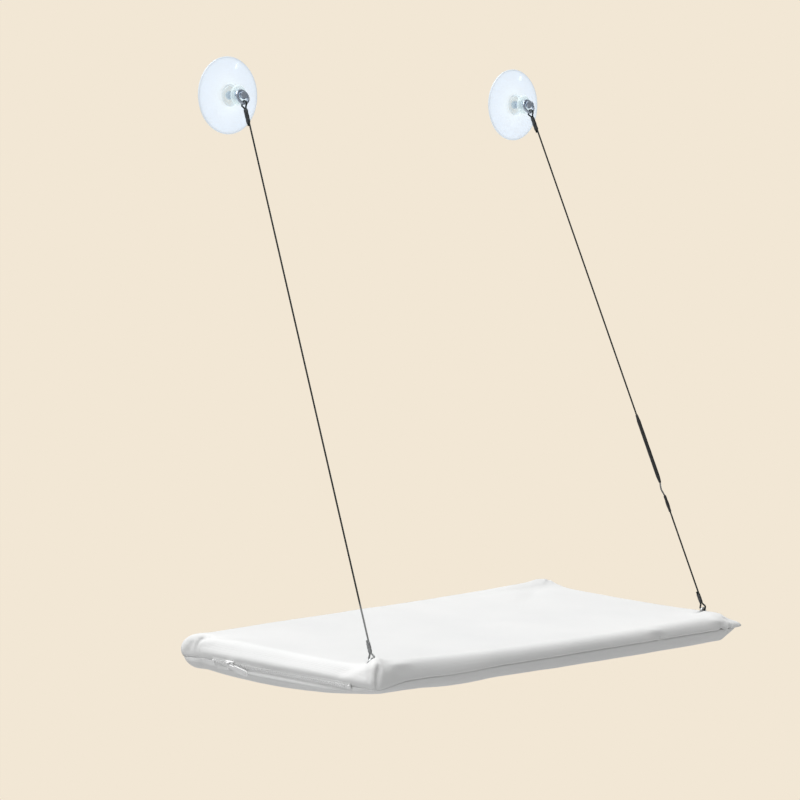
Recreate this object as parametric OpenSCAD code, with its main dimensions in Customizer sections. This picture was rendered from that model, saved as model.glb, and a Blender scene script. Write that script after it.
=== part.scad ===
// Window mounted cat perch: a flat fabric bed on a pipe frame. Its back pipe turns in clips on two small
// suction cups, and two steel cords hang its front corners from two large suction cups.
// X runs along the window, Y points into the glass and Z points up. The glass is the plane Y = 0.
// The origin is on the glass, midway along the bed and level with the middle of its edge.

/* [Bed] */
// Length of the bed along the window
bed_w = 572; // [520:4:620]
// Depth of the bed from its back edge to its front edge
bed_d = 286; // [260:2:330]
// Gap between the glass and the bed's back edge
bed_gap = 16; // [15:0.5:20]

/* [Frame] */
// Outside diameter of the frame pipes
pipe_d = 20; // [18:0.5:20.5]
// Wall of the frame pipes
pipe_wall = 2; // [1.5:0.1:3]
// Height of the pipes' centre line above the middle of the bed's edge
pipe_z = -1.5; // [-2:0.25:-1]
// Bend radius of the corner elbows at their centre line
elbow_bend = 48; // [44:1:50]
// Length of an elbow's spigot inside a pipe
spigot_len = 24; // [16:1:32]
// Gap round a spigot in its pipe
spigot_gap = 0.1; // [0.05:0.05:0.3]

/* [Fabric cover] */
// Thickness of the cover's fabric
fabric_t = 1.2; // [0.8:0.1:1.4]
// Space between a pipe and the fabric round it
fabric_slack = 0.5; // [0.4:0.1:1]
// Height of the seam that joins the two halves of the cover
seam_z = -9; // [-10:0.5:-8.5]
// Gap between the two halves at the seam
seam_gap = 0.3; // [0.1:0.1:0.6]
// How far the top panel's middle is stuffed up above its edges
top_crown = 3.5; // [2:0.5:6]
// How far the bottom panel's middle hangs below its edges
bottom_belly = 2; // [1:0.5:4]
// Height of the top panel at the back left corner
top_rear_left = 16.5; // [15:0.5:18]
// Height of the top panel at the back right corner
top_rear_right = 17; // [15:0.5:18]
// Height of the top panel at the front left corner
top_front_left = 13.5; // [12:0.5:15]
// Height of the top panel at the front right corner
top_front_right = 12.5; // [11.5:0.5:14]
// Height of the top panel's back edge at its middle
top_rear_mid = 19; // [17.5:0.5:20]
// Height of the top panel's front edge at its middle
top_front_mid = 11; // [11:0.5:13]
// Height of the top panel's left edge at its middle
top_left_mid = 13; // [11.5:0.5:14]
// Height of the top panel's right edge at its middle
top_right_mid = 12.5; // [11.5:0.5:14]
// How far the fabric stands up into a point at the back right corner
lift_rear_right = 9.5; // [0:0.5:10]
// How far its cord pulls the fabric up at the front left corner
lift_front_left = 5.5; // [0:0.5:7]
// Depth of the bottom panel at the back left corner
bottom_rear_left = 22.5; // [16:0.5:23]
// Depth of the bottom panel at the front left corner
bottom_front_left = 14.5; // [14.5:0.5:17]
// Depth of the bottom panel at its right corners
bottom_right = 18.5; // [15:0.5:19]
// Depth of the bottom panel's long edges at their middle
bottom_long_mid = 18.5; // [16:0.5:20]
// Depth of the bottom panel's left edge at its middle, where the fabric is slack
bottom_left_mid = 26; // [20:0.5:27]
// Depth of the bottom panel's right edge at its middle
bottom_right_mid = 19; // [18:0.5:21]
// Corner radius of the cover
corner_r = 16; // [15:1:24]
// Corner radius of the cover at the back right corner
corner_r_rear_right = 26; // [15:1:30]
// Length of the pointed ear of loose fabric at the front right corner
ear_front_right = 14; // [6:1:18]
// Length of the blunt flap of loose fabric at the back left corner
flap_rear_left = 18; // [6:1:20]
// Length of the loose fabric at the other two corners
ear_other = 4; // [0:1:8]

/* [Foam mat] */
// Space between the frame's centre line and the foam mat's edge
mat_inset = 15; // [14.5:0.5:20]
// Space between the foam mat and the fabric
mat_gap = 0.8; // [0.7:0.1:0.9]
// Corner radius of the foam mat
mat_corner_r = 30; // [27:1:34]

/* [Upper suction cups] */
// Distance between the two upper cups' centres
cup_span = 448; // [400:4:500]
// Height of the upper cups' centres
cup_z = 595; // [540:5:640]
// Diameter of an upper cup's rim
cup_d = 84; // [76:1:92]
// Width of the flat ring of an upper cup that presses on the glass
cup_land = 6; // [4:0.5:8]
// Thickness of an upper cup's rim
cup_rim_t = 2.2; // [1.6:0.1:2.6]
// Depth of the hollow under an upper cup
cup_hollow = 1.6; // [1:0.1:2]
// Height of an upper cup's dome above the glass, where it meets the boss
cup_dome = 5.6; // [5:0.1:6.4]
// Diameter of an upper cup's boss
boss_d = 22; // [18:0.5:26]
// Distance from the glass to the boss's front face
boss_front = 8; // [7.4:0.1:9]
// Distance from a cup's centre to the moulded pip near its rim
pip_place = 34; // [30:1:36]
// Angle from a cup's top to its pip
pip_turn = 20; // [0:5:40]
// Length of the moulded pip
pip_len = 5; // [4:0.5:6]
// Width of the moulded pip
pip_w = 2.4; // [2:0.2:3.4]
// How far the pip stands out of the cup
pip_h = 1; // [0.6:0.1:1.4]

/* [Studs and knobs] */
// Diameter of a stud's shank
stud_d = 6; // [5:0.5:6.5]
// Distance from the glass to a stud's front end
stud_front = 28.6; // [28.4:0.1:29.4]
// Diameter of a stud's head, moulded into the boss
stud_head_d = 9; // [8:0.5:12]
// Thickness of a stud's head
stud_head_t = 3; // [2.6:0.1:3.4]
// Distance from the glass to the back of a stud's head
stud_head_back = 2.6; // [2.4:0.1:2.8]
// Space between a stud and the boss round it
stud_seat_gap = 0.1; // [0.05:0.05:0.3]
// Diameter of the collar that keeps the knob off the boss
collar_d = 9.4; // [8:0.2:11]
// Thickness of the collar
collar_t = 2; // [1.5:0.1:2.2]
// Diameter of the cap on the stud's front end, which keeps the ring on the stud
cap_d = 9; // [8:0.2:9.2]
// Thickness of the cap
cap_t = 2.4; // [2:0.1:2.6]
// Distance from the glass to the collar's back
collar_back = 12.4; // [12:0.1:12.8]
// Diameter of a thumb knob
knob_d = 21.5; // [18:0.5:22]
// Thickness of a thumb knob
knob_t = 4.4; // [4.2:0.1:4.6]
// Distance from the glass to a thumb knob's back face
knob_back = 16.4; // [16.2:0.1:16.5]
// Diameter of the knob's hub, which turns against the collar
knob_hub_d = 10; // [9:0.5:12]
// Length of the knob's hub
knob_hub_len = 1.2; // [0.8:0.1:1.2]
// Gap between the knob's bore and the stud
knob_gap = 0.05; // [0.02:0.01:0.1]
// Rounding of the knob's rim
knob_round = 1.8; // [1:0.1:2]

/* [Cord rings] */
// Radius of a ring at the middle of its wire
ring_r = 7.5; // [7.4:0.1:8]
// Diameter of the ring's wire
ring_wire_d = 3.2; // [2.8:0.2:3.4]
// Distance from the glass to the place where a ring hangs on its stud
ring_seat = 23; // [23:0.1:23.4]
// Gap between pieces that hang in each other
hang_gap = 0.1; // [0.05:0.05:0.2]
// Diameter of the sleeve that closes a ring
ring_sleeve_d = 4.6; // [4.2:0.2:4.8]
// Length of the sleeve that closes a ring
ring_sleeve_len = 4.5; // [4:0.5:5]
// Angle from the ring's top to its sleeve
ring_sleeve_turn = 66; // [62:1:76]

/* [Cords] */
// Diameter of a cord
cord_d = 2; // [1.6:0.1:2.4]
// Radius of a cord's end loops at their centre line
loop_r = 4; // [3.6:0.2:4.4]
// Distance from an upper loop's bend to its crimp
upper_loop_len = 5.5; // [5:0.5:8]
// Distance from a lower loop's bend to its crimp
lower_loop_len = 5.5; // [5:0.5:9]
// Length of an upper crimp
upper_crimp_len = 16; // [12:1:20]
// Length of a lower crimp
lower_crimp_len = 10; // [8:0.5:14]
// Gap between the two strands of cord in a crimp
strand_gap = 0.2; // [0.1:0.1:0.4]
// Gap between a strand and its hole in a crimp or sleeve
crimp_gap = 0.05; // [0.02:0.01:0.1]
// Wall of a crimp
crimp_wall = 0.6; // [0.4:0.1:1]
// How far a cord's cut end stands out of its crimp
tail_len = 3; // [1:0.5:5]
// Diameter of the long sleeve on the right cord
sleeve_d = 4.4; // [3.8:0.2:5]
// Length of the long sleeve on the right cord
sleeve_len = 84; // [60:2:90]
// Distance down the right cord to the long sleeve
sleeve_place = 368; // [300:1:380]
// Length of the kink between the two sleeves
kink_len = 16; // [12:1:20]
// How far the kink stands to the side
kink_side = 2.2; // [1:0.2:3]
// Diameter of the short sleeve on the right cord
splice_d = 3.8; // [3.4:0.2:4.4]
// Length of the short sleeve on the right cord
splice_len = 20; // [14:1:26]
// Length of the sleeves' tapered ends
sleeve_taper = 8; // [5:1:10]

/* [Screw eyes] */
// Radius of a screw eye's ring at the middle of its wire
eye_r = 3.8; // [3.8:0.1:4.2]
// Diameter of a screw eye's wire
eye_wire_d = 2.6; // [2.2:0.1:2.8]
// Gap between a screw eye's ring and the elbow under it
eye_gap = 0.3; // [0.1:0.1:0.5]
// Gap between a screw eye's shank and its hole
eye_fit = 0.05; // [0.02:0.01:0.1]
// Diameter of a screw eye's shank
eye_shank_d = 4; // [3:0.2:5]
// Length of the shank inside the elbow
eye_shank_len = 17; // [10:1:18]
// Angle round a front elbow's bend from its side pipe to its screw eye
eye_turn = 40; // [38:1:45]
// Radius of the hole in the cover round a screw eye
eye_hole_r = 7.5; // [7:0.5:9]

/* [Lower suction cups and clips] */
// Distance between the two lower cups' centres
clip_span = 260; // [200:5:300]
// Height of the lower cups' centres
low_cup_z = -16; // [-17:0.5:-15.5]
// Diameter of a lower cup's rim
low_cup_d = 44; // [38:1:46]
// Width of the flat ring of a lower cup that presses on the glass
low_cup_land = 4; // [3:0.5:5]
// Thickness of a lower cup's rim
low_cup_rim_t = 1.2; // [0.8:0.1:1.6]
// Depth of the hollow under a lower cup
low_cup_hollow = 1; // [0.8:0.1:1.4]
// Distance from the glass to the shoulder of a lower cup's button
low_cup_dome = 5; // [4.4:0.1:5.2]
// Diameter of the shoulder of a lower cup
low_shoulder_d = 16; // [14:0.5:17]
// Distance from the glass to a clip's back face, which rests on the cup's shoulder
clip_back = 7; // [6.5:0.1:7.4]
// Diameter of a lower cup's neck
neck_d = 7; // [6:0.5:7.5]
// Diameter of the button on a lower cup's neck
button_d = 10; // [9:0.5:10.5]
// Thickness of the button
button_t = 2.4; // [2:0.1:2.6]
// Thickness of the clip's web between the cup's shoulder and the button
web_t = 2.4; // [2:0.1:2.6]
// Gap between the cup's neck and button and the clip
button_gap = 0.2; // [0.1:0.05:0.3]
// Width of a pipe clip along the window
clip_w = 16; // [14:1:20]
// Wall of a clip's jaw round the pipe
jaw_wall = 2.6; // [2:0.1:2.7]
// Gap between a clip's jaw and the pipe that turns in it
jaw_gap = 0.08; // [0.03:0.01:0.1]
// Angle of the mouth of a clip's jaw
mouth_angle = 100; // [80:5:110]
// Height of the clip's block that takes the cup's button
block_h = 15; // [14:0.5:16]
// Distance from the pipe's centre line to the clip's block
block_reach = 8.7; // [8.4:0.1:9]
// Space on each side of a clip in the cover's slot
slot_side = 2.5; // [2:0.5:5]
// Height of the top of the cover's slots above the pipes' centre line
slot_top = 15; // [14.6:0.1:15.4]

/* [Zip] */
// Length of the zip in the left end of the cover
zip_len = 214; // [180:2:220]
// Width of the zip's tape
tape_w = 8; // [7:0.5:9]
// Thickness of the zip's tape
tape_t = 0.8; // [0.5:0.1:1]
// Gap between the tape and the fabric behind it
tape_gap = 0.5; // [0.4:0.1:0.8]
// Width of the zip's row of teeth
teeth_w = 4.4; // [3.6:0.2:5]
// Thickness of the zip's row of teeth
teeth_t = 1.6; // [1.2:0.1:2]
// Length of the zip's end stops
stop_len = 3; // [2:0.5:4]
// Length of the zip's slider
slider_len = 12; // [9:0.5:14]
// Width of the zip's slider
slider_w = 8.4; // [8:0.2:10]
// Wall of the zip's slider
slider_wall = 1.2; // [0.8:0.1:1.6]
// Gap between the slider and what it runs on
slider_gap = 0.2; // [0.1:0.05:0.3]
// Distance from the back end of the zip to the slider
slider_place = 29; // [10:1:150]
// Length of the pull tab
pull_len = 30; // [20:1:36]
// Width of the pull tab
pull_w = 7; // [5:0.5:8]
// Thickness of the pull tab
pull_t = 1.4; // [1:0.1:2]
// Width of the pull tab's narrow end, between the lugs
pull_neck_w = 4; // [3:0.2:4.2]
// Length of the pull tab's narrow end
pull_neck_len = 9; // [7:0.5:12]
// Diameter of the hole in the pull tab
pull_hole_d = 2.6; // [2:0.2:3.6]
// Angle at which the pull tab droops
pull_droop = 12; // [0:1:14]
// Diameter of the pull tab's barrel
barrel_d = 2.8; // [2.4:0.1:3.2]
// Diameter of the pins at the barrel's ends
barrel_pin_d = 1.6; // [1.2:0.1:1.8]
// Gap between the barrel's pins and the slider's lugs
pin_gap = 0.05; // [0.02:0.01:0.1]
// Thickness of a slider's lug
lug_t = 1.4; // [1:0.1:1.6]

/* [Hidden] */

// Fineness of round shapes
$fn = 64;
// How far a cut runs past the face that it cuts
cut = 1;
// Flat sides of the holes in the cover's faceted fabric
hole_sides = 12;

// Middle of the bed, and the frame's centre lines inside it
bed_y = -bed_gap - bed_d / 2;
half_w = bed_w / 2;
half_d = bed_d / 2;
pipe_r = pipe_d / 2;
pipe_inset = pipe_r + fabric_slack + fabric_t;
pipe_x = half_w - pipe_inset;
pipe_y = half_d - pipe_inset;
rear_pipe_y = bed_y + pipe_y;
front_pipe_y = bed_y - pipe_y;
bend_x = pipe_x - elbow_bend;
bend_y = pipe_y - elbow_bend;

// Screw eyes on the front elbows' bends
eye_across = elbow_bend * cos(eye_turn);
eye_out = elbow_bend * sin(eye_turn);
eye_x = bend_x + eye_across;
eye_y = bed_y - bend_y - eye_out;
eye_z = pipe_z + pipe_r + eye_gap + eye_r + eye_wire_d / 2;
eye_top_z = eye_z + eye_r;

// Line of a cord, from the top of its ring's wire to the top of its screw eye's wire
ring_wire_r = ring_wire_d / 2;
ring_top_z = cup_z + stud_d / 2 + hang_gap + ring_wire_r;
cord_r = cord_d / 2;
strand_offset = cord_r + strand_gap / 2;
upper_bend_at = 2 * ring_r + loop_r - cord_r - ring_wire_r - hang_gap;
upper_crimp_at = upper_bend_at + upper_loop_len;
cord_from = upper_crimp_at + upper_crimp_len / 2;
lower_bend_back = loop_r - cord_r - eye_wire_d / 2 - hang_gap;
lower_crimp_back = lower_bend_back + lower_loop_len + lower_crimp_len;
cord_to_back = lower_crimp_back - lower_crimp_len / 2;

// Splice on the right cord, as distances down its free span
kink_at = sleeve_place + sleeve_len;
splice_at = kink_at + kink_len;
// Places along the kink, and how far each stands out, as shares
kink_place_shares = [0, 0.25, 0.5, 0.75, 1];
kink_side_shares = [0, 0.6, 1, 0.55, 0];

// Corner heights of the panels in the order back left, back right, front left, front right,
// and middle heights in the order back, front, left, right
top_corners = [top_rear_left, top_rear_right, top_front_left, top_front_right];
top_mids = [top_rear_mid, top_front_mid, top_left_mid, top_right_mid];
top_lifts = [0, lift_rear_right, lift_front_left, 0];
// How fast a lift fades across the bed, as a power
lift_fall = 40;
bottom_corners = [-bottom_rear_left, -bottom_right, -bottom_front_left, -bottom_right];
bottom_mids = [-bottom_long_mid, -bottom_long_mid, -bottom_left_mid, -bottom_right_mid];

// Points on each corner's arc and on each side between two corners
arc_points = 7;
side_points = 6;
// Angles round the pipe, from its top to the seam and from the seam to its underside
top_angles = [90, 72, 54, 36, 18, 0, -15, -30];
bottom_angles = [-30, -50, -70, -90];
// Rings of the flat part of a panel, as shares of its size
top_outer_shares = [0.25, 0.5, 0.75, 0.9];
panel_inner_shares = [0.6];
bottom_outer_shares = [0.4, 0.75];
mat_flat_share = 0.92;
// Height and width of the mat's rounded edge, as shares of its thickness
mat_edge_shares = [[0.85, 0], [0.5, 0.06], [0.15, 0]];
seam_angle = -30;

// Zip, tilted to lie along the fabric's slope
zip_x = -(pipe_x + pipe_inset * cos(seam_angle));
zip_tilt = -18;
teeth_at = tape_gap + tape_t;
slider_at = teeth_at + teeth_t + slider_gap;
barrel_at = slider_at + slider_wall + slider_gap + barrel_d / 2;
zip_rear_y = bed_y + zip_len / 2;
slider_y = zip_rear_y - slider_place;
barrel_len = slider_w - 2 * lug_t - 2 * slider_gap;

// Lower cups' buttons and clips
button_from = clip_back + web_t + button_gap;
jaw_r = pipe_r + jaw_gap;
jaw_out_r = jaw_r + jaw_wall;

// Height of a panel at shares u and v of the frame's half width and half depth, from its corners, its
// middles and the lift of its corners, which fades slowly along the bed and fast across it
function blanket(u, v, corner, mid, crown, lift) =
    let (rear = (1 + v) / 2, front = (1 - v) / 2, right = (1 + u) / 2, left = (1 - u) / 2)
    corner[0] * rear * left + corner[1] * rear * right + corner[2] * front * left + corner[3] * front * right
    + (1 - u * u) * rear * (mid[0] - (corner[0] + corner[1]) / 2)
    + (1 - u * u) * front * (mid[1] - (corner[2] + corner[3]) / 2)
    + (1 - v * v) * left * (mid[2] - (corner[0] + corner[2]) / 2)
    + (1 - v * v) * right * (mid[3] - (corner[1] + corner[3]) / 2)
    + (1 - u * u) * (1 - v * v) * crown
    + lift[0] * pow(rear, lift_fall) * pow(left, 4) + lift[1] * pow(rear, lift_fall) * pow(right, 4)
    + lift[2] * pow(front, lift_fall) * pow(left, 4) + lift[3] * pow(front, lift_fall) * pow(right, 4);

function across(p) = max(-1, min(1, p.x / pipe_x));
function along(p) = max(-1, min(1, (p.y - bed_y) / pipe_y));
function top_height(p) = blanket(across(p), along(p), top_corners, top_mids, top_crown, top_lifts);
function bottom_height(p) =
    blanket(across(p), along(p), bottom_corners, bottom_mids, -bottom_belly, no_ears);

// Rounded rectangle of half sizes w and d, drawn in by inset, with a radius and an ear for each corner in
// the order back right, back left, front left, front right
function outline(w, d, inset, radii, ears) =
    let (signs = [[1, 1], [-1, 1], [-1, -1], [1, -1]],
        arcs = [for (k = [0 : 3])
            [for (j = [0 : arc_points - 1])
                let (a = 90 * k + 90 * j / (arc_points - 1),
                    peak = 1 - abs(2 * j / (arc_points - 1) - 1),
                    r = radii[k] - inset + ears[k] * peak * peak)
                [signs[k].x * (w - radii[k]) + r * cos(a), bed_y + signs[k].y * (d - radii[k]) + r * sin(a)]]])
    [for (k = [0 : 3])
        let (last = arcs[k][arc_points - 1], next = arcs[(k + 1) % 4][0])
        each concat(arcs[k], [for (j = [1 : side_points]) last + (next - last) * j / (side_points + 1)])];

cover_radii = [corner_r_rear_right, corner_r, corner_r, corner_r];
mat_radii = [mat_corner_r, mat_corner_r, mat_corner_r, mat_corner_r];
no_ears = [0, 0, 0, 0];
// Ears where the fabric rolls over the pipe at the angle a. The flap stays full towards its top and bottom.
function roll_ears(a) = [ear_other * pow(cos(a), 2), flap_rear_left * sqrt(cos(a)), ear_other * pow(cos(a), 2),
    ear_front_right * pow(cos(a), 4)];

// One ring of points of the cover where its fabric rolls over the pipe, at the angle a round the pipe
// and the depth t below the outer face
function roll_ring(a, t) =
    let (reach = pipe_inset - t, inset = pipe_inset - reach * cos(a))
    [for (p = outline(half_w, half_d, inset, cover_radii, roll_ears(a)))
        let (up = top_height(p) - pipe_z - t, low = seam_z - bottom_height(p) - t)
        [p.x, p.y, a >= 0 ? pipe_z + up * sin(a)
            : a >= seam_angle ? pipe_z + (seam_z - pipe_z) * sin(a) / sin(seam_angle)
            : seam_z - low * (sin(a) - sin(seam_angle)) / (-1 - sin(seam_angle))]];

// One ring of points of a flat panel, inside the pipes, at a share of its size
function panel_ring(share, is_top, t) =
    [for (p = outline(half_w, half_d, pipe_inset, cover_radii, no_ears))
        let (q = [p.x * share, bed_y + (p.y - bed_y) * share])
        [q.x, q.y, is_top ? top_height(q) - t : bottom_height(q) + t]];

// Closed solid through rings of points, each of the same count, from one middle point to another.
// The rings run so that the solid lies inside them.
module ring_solid(first, rings, last) {
    n = len(rings[0]);
    count = len(rings);
    points = concat([first], [for (ring = rings) each ring], [last]);
    end = count * n + 1;
    faces = concat(
        [for (i = [0 : n - 1]) [0, 1 + (i + 1) % n, 1 + i]],
        [for (k = [0 : count - 2]) for (i = [0 : n - 1])
            let (a = 1 + k * n + i, b = 1 + k * n + (i + 1) % n)
            each [[a, b, b + n], [a, b + n, a + n]]],
        [for (i = [0 : n - 1]) [end, end - n + i, end - n + (i + 1) % n]]);
    polyhedron(points, faces);
}

// Tube of a cord along a route, with its ends square to it
function unit(v) = v / norm(v);
function route_side(d) = unit(cross(d, [0, 1, 0]));
module cord_tube(route, r) {
    sides = 8;
    last = len(route) - 1;
    rings = [for (i = [0 : last])
        let (before = route[max(0, i - 1)], after = route[min(last, i + 1)],
            d = unit(after - before), s = unit(cross(d, route_side_hint)), u = cross(s, d))
        [for (j = [0 : sides - 1]) route[i] + r * (cos(360 * j / sides) * s + sin(360 * j / sides) * u)]];
    ring_solid(route[0], rings, route[last]);
}
// Any direction that no cord runs along
route_side_hint = [1, 0.15, 0];

// Direction of a cord on the side s, its side direction, and the point at a distance down its line
function cord_start(s) = [s * cup_span / 2, -ring_seat, ring_top_z];
function cord_end(s) = [s * eye_x, eye_y, eye_top_z];
function cord_dir(s) = unit(cord_end(s) - cord_start(s));
function cord_length(s) = norm(cord_end(s) - cord_start(s));
function cord_side(s) = route_side(cord_dir(s));
function cord_normal(s) = cross(cord_dir(s), cord_side(s));
function on_cord(s, at, across, sideways) =
    cord_start(s) + at * cord_dir(s) + across * cord_normal(s) + sideways * cord_side(s);

// Puts children at a distance down a cord's line, with +Z down the cord and +X along the window
module at_cord(s, at) {
    p = on_cord(s, at, 0, 0);
    x = cord_side(s);
    y = cord_normal(s);
    z = cord_dir(s);
    multmatrix([[x.x, y.x, z.x, p.x], [x.y, y.y, z.y, p.y], [x.z, y.z, z.z, p.z], [0, 0, 0, 1]])
        children();
}

// Turns a shape whose axis is Z so that +Z points away from the glass
module off_glass() {
    rotate([90, 0, 0]) children();
}

// Clear soft cup that grips the glass, with a boss round its stud's head
module upper_cup(s) {
    rim_r = cup_d / 2;
    color([0.9, 0.95, 0.98, 0.5])
        translate([s * cup_span / 2, 0, cup_z]) off_glass()
            difference() {
                union() {
                    rotate_extrude()
                        polygon([[0, 0], [rim_r, 0], [rim_r, cup_rim_t],
                            each [for (a = [1 : 6])
                                [rim_r + (boss_d / 2 - rim_r) * a / 6,
                                    cup_rim_t + (cup_dome - cup_rim_t) * pow(a / 6, 2)]],
                            [boss_d / 2, boss_front], [0, boss_front]]);
                    // The pip lies along a ray of the cup, near its rim
                    rotate(-pip_turn) translate([0, pip_place, cup_rim_t])
                        linear_extrude(pip_h + cup_rim_t / 2)
                            square([pip_w, pip_len], center = true);
                }
                rotate_extrude()
                    polygon([[0, -cut], [rim_r - cup_land, -cut], [rim_r - cup_land, 0],
                        [rim_r - 2 * cup_land, cup_hollow / 2], [boss_d / 2, cup_hollow], [0, cup_hollow]]);
                stud_space(stud_seat_gap);
            }
}

// Shape of a stud inside the boss, with a gap all round
module stud_space(gap) {
    translate([0, 0, stud_head_back - gap])
        cylinder(d = stud_head_d + 2 * gap, h = stud_head_t + 2 * gap);
    translate([0, 0, stud_head_back])
        cylinder(d = stud_d + 2 * gap, h = stud_front);
}

// Steel stud with its head in the boss, a collar behind the knob and a cap in front of the ring
module stud(s) {
    cap_edge = cap_t / 3;
    color([0.62, 0.66, 0.7])
        translate([s * cup_span / 2, 0, cup_z]) off_glass() {
            translate([0, 0, stud_head_back]) cylinder(d = stud_head_d, h = stud_head_t);
            translate([0, 0, stud_head_back]) cylinder(d = stud_d, h = stud_front - stud_head_back);
            translate([0, 0, collar_back]) cylinder(d = collar_d, h = collar_t);
            translate([0, 0, stud_front - cap_t]) cylinder(d = cap_d, h = cap_t - cap_edge);
            translate([0, 0, stud_front - cap_edge])
                cylinder(d1 = cap_d, d2 = cap_d - 2 * cap_edge, h = cap_edge);
        }
}

// Clear round knob that turns on the stud
module thumb_knob(s) {
    r = knob_d / 2;
    color([0.85, 0.92, 0.95, 0.6])
        translate([s * cup_span / 2, 0, cup_z]) off_glass()
            rotate_extrude()
                translate([0, knob_back])
                    difference() {
                        union() {
                            translate([0, -knob_hub_len]) square([knob_hub_d / 2, knob_hub_len + knob_t / 2]);
                            translate([0, knob_round]) square([r, knob_t - 2 * knob_round]);
                            square([r - knob_round, knob_t]);
                            for (z = [knob_round, knob_t - knob_round])
                                translate([r - knob_round, z]) circle(r = knob_round);
                        }
                        translate([-r, -knob_hub_len - cut])
                            square([r + stud_d / 2 + knob_gap, knob_hub_len + knob_t + 2 * cut]);
                    }
}

// Steel ring that hangs on the stud, closed by a sleeve beside its top
module cord_ring(s) {
    turn = s * ring_sleeve_turn;
    color([0.6, 0.63, 0.66])
        at_cord(s, ring_r) {
            rotate([90, 0, 0]) rotate_extrude() translate([ring_r, 0]) circle(d = ring_wire_d);
            rotate([0, -turn, 0]) translate([-ring_sleeve_len / 2, 0, -ring_r])
                rotate([0, 90, 0]) cylinder(d = ring_sleeve_d, h = ring_sleeve_len);
        }
}

// Route of a cord's end loop on the side s, from its cut end round the bend and back to the free span.
// way is 1 where the loop's bend is up the cord, and -1 where it is down the cord.
function loop_route(s, way, bend_at, crimp_from, cut_at, span_at) = [
    on_cord(s, cut_at, -strand_offset, 0),
    on_cord(s, crimp_from, -strand_offset, 0),
    on_cord(s, crimp_from - way * cord_d, -strand_offset - cord_r / 4, 0),
    each [for (a = [0 : 20 : 180]) on_cord(s, bend_at - way * loop_r * sin(a), -loop_r * cos(a), 0)],
    on_cord(s, crimp_from - way * cord_d, strand_offset + cord_r / 4, 0),
    on_cord(s, crimp_from, strand_offset, 0),
    on_cord(s, span_at, strand_offset, 0)];

// Loop of cord through the ring
module upper_loop(s) {
    color([0.2, 0.22, 0.22])
        cord_tube(loop_route(s, 1, upper_bend_at, upper_crimp_at, upper_crimp_at + upper_crimp_len + tail_len,
            cord_from), cord_r);
}

// Loop of cord through the screw eye
module lower_loop(s) {
    end = cord_length(s);
    color([0.2, 0.22, 0.22])
        cord_tube(loop_route(s, -1, end - lower_bend_back, end - lower_crimp_back + lower_crimp_len,
            end - lower_crimp_back - tail_len, end - cord_to_back), cord_r);
}

// Pressed metal crimp that holds both strands of a loop
module crimp(s, at, length) {
    hole_r = cord_r + crimp_gap;
    out_r = hole_r + crimp_wall;
    color([0.16, 0.17, 0.18])
        at_cord(s, at)
            linear_extrude(length)
                difference() {
                    union() {
                        square([2 * out_r, 2 * strand_offset], center = true);
                        for (y = [-strand_offset, strand_offset]) translate([0, y]) circle(r = out_r);
                    }
                    for (y = [-strand_offset, strand_offset]) translate([0, y]) circle(r = hole_r);
                }
}

// Free span of a cord, from one crimp to the other. Sides are points of [distance, sideways].
module cord_span(s, sides) {
    from = cord_from;
    to = cord_length(s) - cord_to_back;
    color([0.25, 0.28, 0.28])
        cord_tube([on_cord(s, from, strand_offset, 0),
            each [for (p = sides) on_cord(s, from + p[0], strand_offset, p[1])],
            on_cord(s, to, strand_offset, 0)], cord_r);
}

kink_points = [[sleeve_place, 0],
    each [for (i = [0 : len(kink_place_shares) - 1])
        [kink_at + kink_len * kink_place_shares[i], -kink_side * kink_side_shares[i]]],
    [splice_at + splice_len, 0]];

// Dark sleeve over the right cord, thinner at both ends
module splice_sleeve(at, length, d) {
    hole_r = cord_r + crimp_gap;
    end_r = hole_r + crimp_wall / 2;
    color([0.12, 0.12, 0.13])
        translate(strand_offset * cord_normal(1)) at_cord(1, cord_from + at)
            rotate_extrude()
                polygon([[hole_r, 0], [end_r, 0], [d / 2, sleeve_taper], [d / 2, length - sleeve_taper],
                    [end_r, length], [hole_r, length]]);
}

// Steel screw eye in a front elbow, which its cord pulls on
module screw_eye(s) {
    color([0.65, 0.67, 0.7])
        translate([s * eye_x, eye_y, eye_z]) {
            rotate([90, 0, 0]) rotate_extrude() translate([eye_r, 0]) circle(d = eye_wire_d);
            translate([0, 0, -eye_r - eye_wire_d / 2 - eye_gap - eye_shank_len])
                cylinder(d = eye_shank_d, h = eye_gap + eye_wire_d / 2 + eye_shank_len);
        }
}

// Hollow pipe of the frame between two points, along the axis "x" or "y"
module pipe(length, centre, along_x) {
    color([0.93, 0.93, 0.92])
        translate(centre) rotate(along_x ? [0, 90, 0] : [90, 0, 0])
            difference() {
                cylinder(d = pipe_d, h = length, center = true);
                cylinder(d = pipe_d - 2 * pipe_wall, h = length + 2 * cut, center = true);
            }
}

// Corner elbow with a spigot in each of its two pipes. The front ones take a screw eye.
module elbow(sx, sy, has_eye) {
    spigot_d = pipe_d - 2 * pipe_wall - 2 * spigot_gap;
    color([0.88, 0.88, 0.87])
        translate([sx * bend_x, bed_y + sy * bend_y, pipe_z])
            difference() {
                mirror([sx < 0 ? 1 : 0, 0, 0]) mirror([0, sy < 0 ? 1 : 0, 0]) {
                    rotate_extrude(angle = 90) translate([elbow_bend, 0]) circle(d = pipe_d);
                    translate([elbow_bend, 0, 0]) rotate([90, 0, 0]) cylinder(d = spigot_d, h = spigot_len);
                    translate([0, elbow_bend, 0]) rotate([0, -90, 0]) cylinder(d = spigot_d, h = spigot_len);
                }
                if (has_eye)
                    translate([sx * eye_across, sy * eye_out, pipe_r - eye_shank_len])
                        cylinder(d = eye_shank_d + 2 * eye_fit, h = eye_shank_len + cut);
            }
}

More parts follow.
